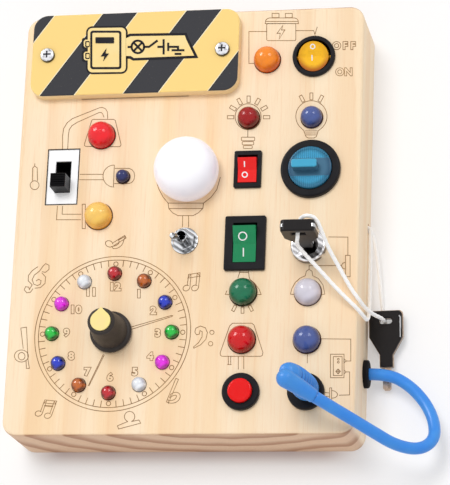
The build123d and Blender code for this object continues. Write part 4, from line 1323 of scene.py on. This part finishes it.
# every drawing is a list of lines in picture dots, on the board's face
drawings = {
    "engravedBattery": [
        roundedBox(266.7, 23.6, 295.8, 40.6, 1.2),
        closed((265.2, 23.6), (265.7, 20.4), (267.4, 18.6), (269.6, 17.9), (294.4, 17.9), (296.6, 18.6),
               (298.1, 20.4), (298.5, 23.6)),
        opened((265.5, 21.4), (298.3, 21.4)),
        box(272.1, 13.4, 279.0, 17.6),
        box(285.4, 13.4, 292.2, 17.6),
        closed((282.7, 25.5), (277.0, 33.4), (280.3, 33.2), (279.2, 39.0), (284.9, 29.8), (281.5, 30.0)),
        opened((266.7, 31.5), (248.9, 31.5), (248.9, 63.4), (255.4, 63.4)),
        opened((295.8, 30.6), (313.7, 30.6), (315.2, 35.6)),
        opened((317.3, 26.8), (315.0, 34.0)),
    ],
    "engravedSunLamp": [
        circle((248.1, 116.7), 13.0),
        *rays((248.6, 117.2), range(0, 181, 30), 14.8, 21.2, 3.2),
        opened((247.9, 129.9), (247.7, 137.2)),
        roundedBox(241.4, 137.2, 254.7, 140.7, 0.8),
        roundedBox(242.2, 141.6, 253.7, 144.8, 0.8),
        roundedBox(243.3, 145.6, 252.2, 148.4, 0.8),
    ],
    "engravedBulb": [
        closed(*arc((311.4, 116.3), 15.6, -52, 232, 36), (303.9, 130.9), (305.2, 134.8), (306.2, 136.9),
               (308.6, 138.0), (313.9, 138.0), (316.2, 136.7), (317.0, 134.8), (318.2, 130.9)),
        opened((304.9, 130.9), (317.6, 130.9)),
        opened((305.2, 133.0), (317.3, 133.0)),
        opened((305.7, 134.9), (316.8, 134.9)),
        *rays((311.4, 116.3), (90, 62, 118), 16.6, 23.4, 3.0),
    ],
    "engravedDeskLamp": [
        closed((93.0, 119.4), (113.6, 119.4), (115.3, 120.4), (121.0, 144.4), (120.6, 146.0),
               (119.2, 146.7), (85.9, 146.4), (84.5, 145.6), (84.5, 143.8), (91.8, 120.2)),
        opened((62.6, 149.0), (62.6, 136.0), (63.6, 128.6), (67.3, 122.6), (72.4, 118.6), (99.6, 107.7),
               (102.4, 107.4), (105.6, 108.9), (107.4, 112.0), (107.7, 118.9)),
        opened((67.7, 149.0), (68.4, 134.8), (69.3, 129.4), (72.0, 125.6), (77.5, 122.2), (99.0, 112.6),
               (101.2, 112.5), (102.6, 113.8), (104.0, 117.4)),
    ],
    "engravedTorch": [
        opened((79.8, 174.3), (103.2, 174.3)),
        opened((79.4, 179.7), (103.4, 179.7)),
        closed(*arc((114.0, 176.1), 11.0, 92, 268, 18), (113.4, 187.1), (114.3, 165.1)),
        opened((114.9, 168.4), (129.0, 168.4), (131.9, 169.6), (134.0, 172.2), (134.6, 175.8),
               (134.0, 179.6), (131.9, 182.3), (129.0, 183.6), (114.3, 183.6)),
    ],
    "engravedWallLamp": [
        opened((57.4, 205.9), (56.4, 219.7), (81.0, 219.7)),
        opened((62.6, 205.9), (62.1, 214.2), (81.2, 214.2)),
        box(82.2, 204.2, 85.3, 228.6),
    ],
    "engravedThermometer": [
        circle((34.6, 185.2), 4.4),
        opened((32.4, 180.8), (32.7, 168.0), (34.7, 165.9), (37.2, 168.0), (37.5, 180.8)),
        opened((34.7, 165.9), (34.9, 163.4)),
    ],
    "engravedGlobeLamp": [
        opened((155.4, 178.6), (158.8, 189.0), (163.0, 197.0), (168.1, 203.1)),
        opened((220.4, 177.1), (216.8, 189.6), (211.0, 197.4), (203.5, 203.1)),
        closed((168.1, 203.1), (203.5, 203.1), (202.8, 208.5), (168.8, 208.5)),
        opened((168.8, 208.5), (172.6, 212.8), (177.8, 215.6), (193.2, 215.6), (198.4, 212.8),
               (202.8, 208.5)),
        opened((182.7, 215.7), (182.4, 227.0)),
        opened((188.6, 215.7), (188.6, 227.0)),
    ],
    "engravedBell": [
        opened((290.4, 294.2), (291.8, 288.6), (295.4, 282.2), (300.2, 278.0), (305.3, 275.7),
               (306.3, 271.2), (309.1, 269.3), (312.0, 271.2), (312.7, 275.7), (318.4, 278.6),
               (323.0, 285.0), (324.8, 294.2)),
        opened((290.4, 294.2), (294.2, 294.4), (294.0, 291.0)),
        opened((324.8, 294.2), (321.0, 294.4), (321.3, 290.6)),
        opened((309.1, 269.3), (309.1, 265.6), (341.3, 265.6)),
    ],
    "engravedPushSwitch": [
        opened((328.4, 236.9), (347.9, 237.1), (347.9, 255.3)),
        box(345.4, 255.4, 350.1, 276.7),
        opened((345.3, 262.2), (342.8, 263.2), (341.3, 265.5), (342.8, 268.3), (345.3, 269.0)),
    ],
    "engravedSpotLamp": [
        opened((240.2, 270.7), (237.9, 277.8)),
        opened((240.2, 272.4), (248.8, 272.4)),
        opened((248.2, 270.4), (249.5, 278.9), (255.0, 283.6), (259.2, 289.4), (261.1, 294.4),
               (257.4, 294.6)),
        opened((227.0, 290.6), (225.2, 294.4), (229.0, 294.6)),
        *rays((242.5, 291.9), (270, 243, 297), 15.2, 21.4, 2.8),
    ],
    "engravedLampshade": [
        closed((232.6, 323.2), (251.6, 323.2), (254.0, 325.0), (262.9, 352.6), (262.4, 355.4),
               (260.6, 356.3), (222.0, 356.3), (220.4, 355.2), (220.2, 352.6), (229.6, 326.0)),
        opened((228.3, 356.5), (228.3, 364.3)),
        opened((230.7, 356.5), (230.7, 364.3)),
        opened((227.4, 364.5), (231.5, 364.5)),
        opened((238.3, 356.5), (238.3, 369.4)),
        opened((243.7, 356.5), (243.7, 369.2)),
    ],
    "engravedSocketStrip": [
        opened((321.4, 338.8), (350.8, 339.1), (350.8, 361.0), (346.8, 361.0)),
        box(330.5, 354.2, 344.0, 377.7),
        box(333.3, 356.6, 342.1, 375.5),
        circle((338.3, 359.2), 0.9),
        circle((338.3, 362.2), 0.9),
        closed((338.1, 369.0), (340.4, 371.4), (338.1, 373.9), (335.8, 371.4)),
        opened((335.8, 371.4), (340.4, 371.4)),
        opened((338.1, 369.0), (338.1, 373.9)),
        closed((344.0, 358.9), (346.6, 361.0), (344.0, 362.7)),
        closed((344.0, 370.2), (346.2, 371.9), (344.0, 373.8)),
        opened((346.3, 371.9), (349.6, 371.9), (349.6, 394.9), (338.9, 395.2)),
        opened((307.3, 354.2), (307.3, 363.2)),
    ],
    "engravedPlug": [
        opened((331.6, 390.4), (334.8, 391.2), (337.0, 393.0), (337.6, 394.6), (336.6, 396.6),
               (334.6, 397.8), (331.6, 398.2)),
        box(329.6, 387.9, 331.6, 400.3),
        opened((324.8, 392.4), (329.6, 393.0)),
        opened((324.8, 396.2), (329.6, 396.6)),
    ],
    "engravedSwitchWords": [
        *glyph("O", (336.6, 45.6), 7.0, 0.55),
        *glyph("F", (345.4, 45.6), 7.0, 0.55),
        *glyph("F", (353.2, 45.6), 7.0, 0.55),
        *glyph("O", (339.8, 71.8), 7.0, 0.55),
        *glyph("N", (348.4, 71.8), 7.0, 0.55),
    ],
    "engravedNotes": [
        *glyph("♪", (116.4, 242.0), 19.0, 0.9, turn=-58),
        *glyph("♫", (191.4, 281.8), 17.6, 0.9, turn=-6),
        *glyph("♭", (176.2, 392.2), 24.0, 0.7, turn=-22),
        *glyph("♬", (45.6, 408.2), 19.4, 0.6, turn=-20),
        opened((20.8, 328.0), (26.5, 327.2), (28.0, 360.0), (29.4, 368.3), (26.4, 368.5), (26.0, 360.4)),
        closed(*arc((21.4, 356.0), 7.0, 0, 360, 24, 0.86)[:-1]),
        closed(*arc((21.6, 356.2), 3.4, 0, 360, 16, 1.1)[:-1]),
        opened((20.8, 328.0), (23.2, 348.6)),
        opened(*arc((129.6, 416.6), 5.2, -70, 250, 24)),
        opened((131.4, 421.5), (139.0, 420.0), (140.6, 423.2), (118.6, 429.0), (117.4, 425.8),
               (127.8, 421.5)),
    ],
    "engravedClefs": [
        # the treble clef: a spiral that runs up into a loop and down into a hook
        opened((36.0, 281.0), (38.6, 279.2), (41.0, 280.6), (40.6, 284.0), (37.4, 285.6), (33.6, 284.0),
               (32.2, 279.6), (34.4, 275.0), (39.6, 271.0), (42.6, 266.6), (45.6, 263.6), (49.0, 265.2),
               (49.0, 269.4), (45.4, 272.4), (42.0, 271.6)),
        opened((33.0, 288.6), (30.6, 292.2), (26.8, 292.8), (24.2, 289.8), (25.6, 286.6), (28.8, 287.2),
               (29.4, 289.4), (32.2, 284.8), (28.2, 280.8), (28.4, 275.4), (32.4, 270.4), (38.0, 266.6)),
        opened((41.8, 272.8), (45.6, 277.0), (45.0, 283.4), (40.4, 287.6), (34.6, 288.2)),
        # the bass clef and its two dots
        opened((194.8, 332.2), (195.8, 328.2), (200.4, 326.0), (205.4, 327.8), (207.4, 332.6), (205.8, 339.4),
               (200.6, 344.8), (193.8, 348.2), (193.4, 347.0), (198.6, 342.6), (202.0, 336.8), (202.2, 331.6),
               (200.0, 330.6), (199.4, 334.0), (196.6, 334.8), (194.8, 332.2)),
        circle((211.9, 332.4), 2.1),
        circle((210.6, 343.7), 2.2),
    ],
}


def engraveDrawings():
    spot = onLevel(boardTop + lineWork["lift"])
    for name, lines in drawings.items():
        piece = drawLines(name, lines, lineWork["width"], spot, engraved, "board")
        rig.slot(piece, "pine")


clock = {
    "centre": (-0.0370, -0.0636),
    "outer": 0.04285,
    "inner": 0.04080,
    "tick": 0.0036,
    "hourRing": 0.0386,
    "hourDot": 0.0012,
    "ringSteps": 120,
    "dotSteps": 16,
    "digitPlaces": [
        (138.9, 293.6), (153.3, 310.4), (157.7, 332.9), (150.2, 356.2), (134.8, 371.6), (110.0, 377.0),
        (87.4, 371.6), (71.2, 355.9), (66.5, 332.5), (75.6, 309.4), (91.0, 291.9), (114.8, 286.6),
    ],
    "digitDots": 7.2,
    "digitStep": 6.0,
    "digitBold": 0.8,
    "digitWide": 1.1,
    "hands": [
        opened((129.7, 327.4), (171.6, 315.4), (172.7, 315.7), (171.9, 316.5), (130.5, 329.6)),
        opened((103.4, 354.2), (88.2, 385.8)),
        opened((104.4, 354.6), (88.9, 386.0)),
    ],
}


def engraveClock():
    def ringLine(centre, radius, steps):
        angles = [2 * pi * step / steps for step in range(steps)]
        return closed(*[centre + Vector((cos(a), sin(a))) * radius for a in angles])

    centre = Vector(clock["centre"])
    lines = [ringLine(centre, clock[ring], clock["ringSteps"]) for ring in ("outer", "inner")]
    for minute in range(60):
        angle = radians(90 - 6 * minute)
        out = Vector((cos(angle), sin(angle)))
        if minute % 5:
            start = centre + out * (clock["inner"] - clock["tick"])
            lines.append(opened(start, start + out * clock["tick"]))
        else:
            lines.append(ringLine(centre + out * clock["hourRing"], clock["hourDot"], clock["dotSteps"]))
    level = boardTop + lineWork["lift"]
    dial = drawLines("engravedClockDial", lines, lineWork["clockWidth"], standing(level), engraved, "board")
    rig.slot(dial, "pine")
    numbers = []
    for hour, (across, down) in enumerate(clock["digitPlaces"], start=1):
        digits = str(hour)
        for index, digit in enumerate(digits):
            offset = (index - (len(digits) - 1) / 2) * clock["digitStep"]
            numbers += glyph(digit, (across + offset, down), clock["digitDots"], clock["digitBold"],
                             wide=clock["digitWide"])
    numbers += clock["hands"]
    piece = drawLines("engravedClockNumbers", numbers, lineWork["glyphWidth"], onLevel(level), engraved,
                      "board")
    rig.slot(piece, "pine")


holeShadeRing = {
    "inward": 0.1 * mm,     # how far the painted shade ring goes under the lens, and out past it
    "outward": 0.5 * mm,
    "around": 48,
    "foot": 0.4 * mm,       # a lens is measured above this height
}


def lensPlaces(node):
    # the centre and radius of every lens in a node, from its loose parts
    mesh = nodes[node].data
    parent = list(range(len(mesh.vertices)))

    def root(i):
        while parent[i] != i:
            parent[i] = parent[parent[i]]
            i = parent[i]
        return i

    spots = {}
    for vertex in mesh.vertices:
        key = tuple(round(c, 5) for c in vertex.co)
        if key in spots:
            parent[root(vertex.index)] = root(spots[key])
        spots[key] = vertex.index
    for edge in mesh.edges:
        parent[root(edge.vertices[0])] = root(edge.vertices[1])
    groups = {}
    for vertex in mesh.vertices:
        if vertex.co.z > boardTop + holeShadeRing["foot"]:
            groups.setdefault(root(vertex.index), []).append(vertex.co)
    found = []
    for points in groups.values():
        lowX, highX = min(p.x for p in points), max(p.x for p in points)
        lowY, highY = min(p.y for p in points), max(p.y for p in points)
        found.append((((lowX + highX) / 2, (lowY + highY) / 2), (highX - lowX) / 2))
    return found


def burnRims():
    # painted shade: a dark ring round each lamp's hole, where the lens sits in it
    places = []
    faces = []
    level = boardTop + lineWork["lift"]
    steps = holeShadeRing["around"]
    for node in lenses:
        for centre, radius in lensPlaces(node):
            start = len(places)
            for step in range(steps):
                a = 2 * pi * step / steps
                for reach in (radius - holeShadeRing["inward"], radius + holeShadeRing["outward"]):
                    places.append((centre[0] + reach * cos(a), centre[1] + reach * sin(a), level))
            for step in range(steps):
                a = start + 2 * step
                b = start + 2 * ((step + 1) % steps)
                faces.append((a, b, b + 1, a + 1))
    rims = addMesh("lampHoleShade", places, faces)
    wear(rims, finish=holeShade)
    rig.ride(rims, "board")
    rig.slot(rims, "pine")


engraveDrawings()
engraveClock()
burnRims()
print("drawings engraved")

marks = {
    # the white marks on each rocker, in picture dots, and how wide their lines are
    "red_rocker": ([opened((244.4, 161.2), (244.6, 166.9)), circle((244.8, 174.7), 2.55)], 1.15),
    "green_rocker": ([circle((242.7, 236.1), 4.0), opened((243.4, 247.9), (243.4, 256.6))], 1.15),
    "round_rocker": ([circle((312.7, 46.5), 2.2), opened((312.0, 54.9), (312.1, 60.6))], 1.1),
}
markLift = 0.08 * mm


def markSwitches():
    for rocker, (lines, width) in marks.items():
        name = f"{rocker.split('_')[0]}RockerMarks"
        piece = drawLines(name, lines, width, onNode(f"{rocker}_key", markLift), whiteMark, rocker)
        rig.slot(piece, "white_plastic")


markSwitches()
print("switches marked")

badge = {
    "outline": paint(30, 29, 33),
    "cream": paint(252, 226, 160),
    "creamShade": paint(254, 222, 148),
    "ink": paint(36, 35, 40),
    "layer": 0.00010,       # how much higher each layer of ink lies than the one below it
    "signWidth": 2.1,
    # a plain fuse box and a field for the signs: each shape's layer, its ink, and its outline in picture dots
    "box": {
        "badgeBoxEdge": (1, "ink", closed(
            *arc((121.2, 32.2), 6.4, 0, 90, 6), *arc((92.4, 32.6), 6.4, 90, 180, 6), (86.0, 38.2),
            *arc((84.2, 40.2), 2.4, 100, 180, 3), *arc((84.2, 46.8), 2.4, 180, 260, 3), (86.0, 49.2),
            *arc((84.2, 52.6), 2.4, 100, 180, 3), *arc((84.2, 59.6), 2.4, 180, 260, 3), (86.0, 62.0),
            *arc((92.4, 67.8), 6.4, 180, 270, 6), *arc((121.2, 67.4), 6.4, 270, 360, 6))),
        "badgeBoxLine": (2, "cream", closed(
            *arc((121.2, 32.2), 4.6, 0, 90, 6), *arc((92.4, 32.6), 4.6, 90, 180, 6), (87.8, 39.6),
            (85.2, 39.8), (83.8, 41.2), (83.8, 46.0), (85.2, 47.4), (87.8, 47.4), (87.8, 51.6),
            (85.2, 51.8), (83.8, 53.2), (83.8, 58.8), (85.2, 60.2), (87.8, 60.4),
            *arc((92.4, 67.8), 4.6, 180, 270, 6), *arc((121.2, 67.4), 4.6, 270, 360, 6))),
        "badgeDoorEdge": (3, "ink", roundedBox(90.2, 30.6, 121.4, 69.2, 2.8)),
        "badgeDoor": (4, "cream", roundedBox(92.4, 32.8, 119.2, 67.0, 1.2)),
        "badgeHinge1": (3, "ink", roundedBox(85.2, 41.0, 89.6, 47.2, 1.0)),
        "badgeHingeFace1": (4, "cream", roundedBox(86.4, 42.2, 89.0, 46.0, 0.5)),
        "badgeHinge2": (3, "ink", roundedBox(85.2, 52.8, 89.6, 59.0, 1.0)),
        "badgeHingeFace2": (4, "cream", roundedBox(86.4, 54.0, 89.0, 57.8, 0.5)),
        "badgeDisplay": (7, "ink", roundedBox(95.4, 37.2, 114.0, 43.2, 0.6)),
        "badgeBolt": (7, "ink", closed((106.6, 48.0), (100.6, 56.4), (104.4, 56.2), (103.0, 61.4),
                                       (109.0, 53.4), (105.4, 53.5))),
        "badgeSignEdge": (1, "ink", closed(
            (123.6, 36.0), (130.0, 33.6), (186.6, 32.8), (188.6, 38.4), (198.4, 58.0), (133.0, 60.6),
            (129.8, 58.8), (123.6, 58.8))),
        "badgeSignField": (2, "cream", closed(
            (126.0, 38.2), (130.8, 36.2), (184.8, 35.4), (186.2, 39.4), (194.2, 55.6), (133.8, 58.0),
            (130.8, 56.0), (126.0, 56.0))),
    },
    # plain circuit signs on the field: a lamp, a switch, a cell and an earth
    "signs": [
        opened((127.6, 47.0), (131.6, 46.9)),
        circle((137.8, 46.8), 6.2),
        opened((133.8, 42.8), (141.8, 50.8)),
        opened((141.8, 42.8), (133.8, 50.8)),
        opened((144.0, 46.8), (149.0, 46.8), (157.6, 40.4)),
        opened((157.4, 46.8), (162.6, 46.8)),
        opened((163.6, 39.2), (163.6, 54.4)),
        opened((168.2, 42.6), (168.2, 51.0)),
        opened((168.2, 46.8), (178.0, 46.8), (178.0, 50.2)),
        opened((171.6, 50.2), (184.4, 50.2)),
        opened((174.6, 53.9), (181.4, 53.9)),
    ],
    "signLayer": 3,
}


def printed(name, dots, level, ink):
    # one flat shape of ink on the plate
    spot = onLevel(level)
    piece = addMesh(name, [spot(dot) for dot in dots], [tuple(reversed(range(len(dots))))])
    wear(piece, finish=ink)
    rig.ride(piece, "board")
    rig.slot(piece, "hazard_print")


def makeBadge():
    inks = {
        "ink": mattePlastic("badgeInk", badge["ink"], badge["outline"], rough=0.4, shine=0.1),
        "cream": mattePlastic("badgeCream", badge["cream"], badge["creamShade"], rough=0.4, shine=0.1),
    }
    plate = topOf("hazard_plate")
    for name, (layer, ink, (dots, _)) in badge["box"].items():
        printed(name, dots, plate + badge["layer"] * layer, inks[ink])
    spot = onLevel(plate + badge["layer"] * badge["signLayer"])
    piece = drawLines("badgeSigns", badge["signs"], badge["signWidth"], spot, inks["ink"], "board")
    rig.slot(piece, "hazard_print")


makeBadge()
print("badge printed")

keyBow = {
    "half": 0.00905,       # half its width, which leaves the metal's side edges bare
    "neckHalf": 0.0036,
    "straight": 0.0145,
    "taper": 0.0095,
    "corner": 0.0022,
    "cornerSteps": 4,
    "edge": 0.0009,
    "edgeSteps": 3,
    "proud": 0.00010,
    "hole": (0.0035, 0.0016, 0.0060),   # half its width, half its height, and how far it lies below the top
}


def makeKeyBow():
    # the moulded grip, with rounded edges and the hole that the string goes through
    low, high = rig.box("key_grip")
    top = topOf("key_blade") + keyBow["proud"]
    middle = (low + high) / 2
    half, neck, corner, edge = keyBow["half"], keyBow["neckHalf"], keyBow["corner"], keyBow["edge"]
    shoulder = top - keyBow["straight"]
    turns = [pi / 2 * step / keyBow["cornerSteps"] for step in range(keyBow["cornerSteps"] + 1)]
    leftSide = [(-half + corner * (1 - cos(turn)), top - corner * (1 - sin(turn))) for turn in turns]
    rightSide = [(-x, z) for x, z in reversed(leftSide)]
    outline = [
        *leftSide, *rightSide,
        (half, shoulder), (neck, shoulder - keyBow["taper"]), (neck, low.z),
        (-neck, low.z), (-neck, shoulder - keyBow["taper"]), (-half, shoulder),
    ]
    across, rise, drop = keyBow["hole"]
    hole = [(-across, top - drop - rise), (across, top - drop - rise),
            (across, top - drop + rise), (-across, top - drop + rise)]
    curve = bpy.data.curves.new("keyBow", "CURVE")
    curve.dimensions = "2D"
    curve.fill_mode = "BOTH"
    curve.extrude = (high.y - low.y) / 2 - edge + keyBow["proud"]
    curve.bevel_depth = edge
    curve.bevel_resolution = keyBow["edgeSteps"]
    curve.offset = -edge
    for loop in (outline, hole):
        spline = curve.splines.new("POLY")
        spline.points.add(len(loop) - 1)
        spline.use_cyclic_u = True
        for point, (x, z) in zip(spline.points, loop):
            point.co = (x, z, 0, 1)
    guide = bpy.data.objects.new("keyBow", curve)
    bpy.context.scene.collection.objects.link(guide)
    mesh = bpy.data.meshes.new_from_object(guide)
    places = [(middle.x + v.co.x, middle.y - v.co.z, v.co.y) for v in mesh.vertices]
    faces = [tuple(face.vertices) for face in mesh.polygons]
    bpy.data.objects.remove(guide)
    bow = addMesh("keyBow", places, faces)
    wear(bow, finish=keyGrip)
    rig.ride(bow, "key")
    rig.replaces(bow, "key_grip")
    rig.slot(bow, "black_plastic")


spareKeyRim = {
    "line": [opened((399.0, 315.2), (400.2, 317.0), (400.5, 337.0), (399.0, 343.0))],   # in picture dots
    "width": 1.2,
    "lift": 0.1 * mm,
}


def rimSpareKey():
    # the plating that shows along the right edge of the spare key
    spot = onNode("spare_key_grip", spareKeyRim["lift"])
    piece = drawLines("spareKeyRim", spareKeyRim["line"], spareKeyRim["width"], spot, steel, "board")
    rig.slot(piece, "key_metal")


knot = {
    "centre": Vector((0.0849, 0.00243, 0.0086)),
    "radius": 0.0034,
    "lumps": 3,
    "lumpHeight": 0.14,
    "twist": 2.2,
    "rings": 14,
    "around": 24,
    "pole": 0.2,        # how far the first and last rings stand from the ends, in rings
}


def tieKnot():
    # the knot that holds both ends of the string inside the board
    places = []
    for ring in range(knot["rings"] + 1):
        lift = pi * (ring + knot["pole"]) / (knot["rings"] + 2 * knot["pole"])
        for step in range(knot["around"]):
            angle = 2 * pi * step / knot["around"]
            lump = sin(knot["lumps"] * angle + knot["twist"] * lift) * sin(lift)
            reach = knot["radius"] * (1 + knot["lumpHeight"] * lump)
            out = Vector((cos(lift), sin(lift) * cos(angle), sin(lift) * sin(angle)))
            places.append(knot["centre"] + out * reach)
    piece = addMesh("stringKnot", places, tubeFaces(knot["rings"] + 1, knot["around"]), smooth=True)
    wear(piece, finish=cotton)
    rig.ride(piece, "board")
    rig.slot(piece, "white_string")


plateGapShade = {
    "left": 0.15 * mm,      # how much further the painted shade goes on the left
    "width": 0.55 * mm,
    "dark": paint(34, 28, 26),
    "brown": paint(48, 40, 36),
}


def shadePlates():
    # painted shade: a dark line in the gap between the slide switch's plate and the board
    low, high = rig.box("slide_switch_plate")
    gapShade = mattePlastic("paintedGapShade", plateGapShade["dark"], plateGapShade["brown"], rough=0.8, shine=0.1)
    left = low.x - plateGapShade["left"]
    edge = closed((left, low.y), (high.x, low.y), (high.x, high.y), (left, high.y))
    spot = standing(boardTop + lineWork["lift"])
    piece = drawLines("slidePlateGapShade", [edge], plateGapShade["width"], spot, gapShade, "board")
    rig.slot(piece, "pine")


makeKeyBow()
rimSpareKey()
tieKnot()
shadePlates()
print("keys, knot and plates made")

light = {
    "ambient": 0.60,
    "suns": [
        # where it stands, how strong it is, how wide it looks in degrees, and whether gloss alone shows it
        (Vector((-0.16, 0.34, 1.0)), 1.38, 24, False),
        (Vector((-0.61, 0.465, 0.64)), 1.60, 24, True),
        (Vector((0.51, 0.41, 0.76)), 0.75, 20, True),
    ],
    "floorSize": 4.0,
    "floorGlow": 0.34,
    "floorColour": (0.995, 0.985, 0.985, 1),
    "contactShadow": 0.62,            # how much of the painted contact shadow shows just below the board's lower edge
    "contactReach": 0.009,
    "contactEnds": 0.025,
    "contactUnder": (0.01, 0.03),   # how far under the board it fades away
    "contactShadowColour": (0.40, 0.22, 0.18, 1),
}


def makeFloor():
    half = light["floorSize"] / 2
    low = cadBox[0][2]
    corners = [(-half, -half, low), (half, -half, low), (half, half, low), (-half, half, low)]
    floor = addMesh("floor", corners, [(0, 1, 2, 3)])
    pale = Finish("paleFloor")
    x, y, _ = pale.parts(pale.place())
    boardLow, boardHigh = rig.box("wooden_board")
    ends = light["contactEnds"]
    # a painted contact shadow darkens the floor just below the board's lower edge, where it glows less too
    near = (1 - (boardLow.y - y).step(0, light["contactReach"])) * light["contactShadow"]
    near = near * (1 - (y - boardLow.y).step(*light["contactUnder"]))
    near = near * (x - boardLow.x).step(0, ends) * (boardHigh.x - x).step(0, ends)
    colour = pale.mixed(near, light["floorColour"], light["contactShadowColour"])
    diffuse = pale.node("ShaderNodeBsdfDiffuse", sockets={"Color": colour})
    glow = pale.node("ShaderNodeEmission", sockets={"Color": (1, 1, 1, 1), "Strength": 1.0})
    share = light["floorGlow"] * (1 - near)
    mixed = pale.node("ShaderNodeMixShader", sockets={0: share, 1: diffuse, 2: glow})
    pale.feed(pale.tree.nodes["Material Output"].inputs["Surface"], mixed)
    pale.tree.nodes.remove(pale.shader)
    floor.data.materials.append(pale.material)
    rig.stage(floor)


def makeLight():
    world = bpy.data.worlds.new("world")
    world.use_nodes = True
    bpy.context.scene.world = world
    sky = Shading(world.node_tree)
    direct, glossy, clear = [sky.node("ShaderNodeLightPath", output=f"Is {kind} Ray")
                             for kind in ("Camera", "Glossy", "Transmission")]
    shown = direct.most(glossy).most(clear)
    background = sky.tree.nodes["Background"]
    background.inputs["Color"].default_value = (1, 1, 1, 1)
    sky.feed(background.inputs["Strength"], light["ambient"] + shown * (1 - light["ambient"]))

    for place, strength, wide, shines in light["suns"]:
        data = bpy.data.lights.new("sun", "SUN")
        data.energy = strength
        data.angle = radians(wide)
        sun = bpy.data.objects.new("sun", data)
        sun.rotation_euler = place.to_track_quat("Z", "Y").to_euler()
        sun.visible_glossy = shines
        sun.visible_diffuse = not shines
        bpy.context.scene.collection.objects.link(sun)


makeFloor()
makeLight()
bpy.context.scene.view_settings.view_transform = "Standard"
print("floor and light made")

with open("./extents.json", "w") as file:
    json.dump({"cad": cadBox, "visual": [list(corner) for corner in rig.bounds()]}, file)
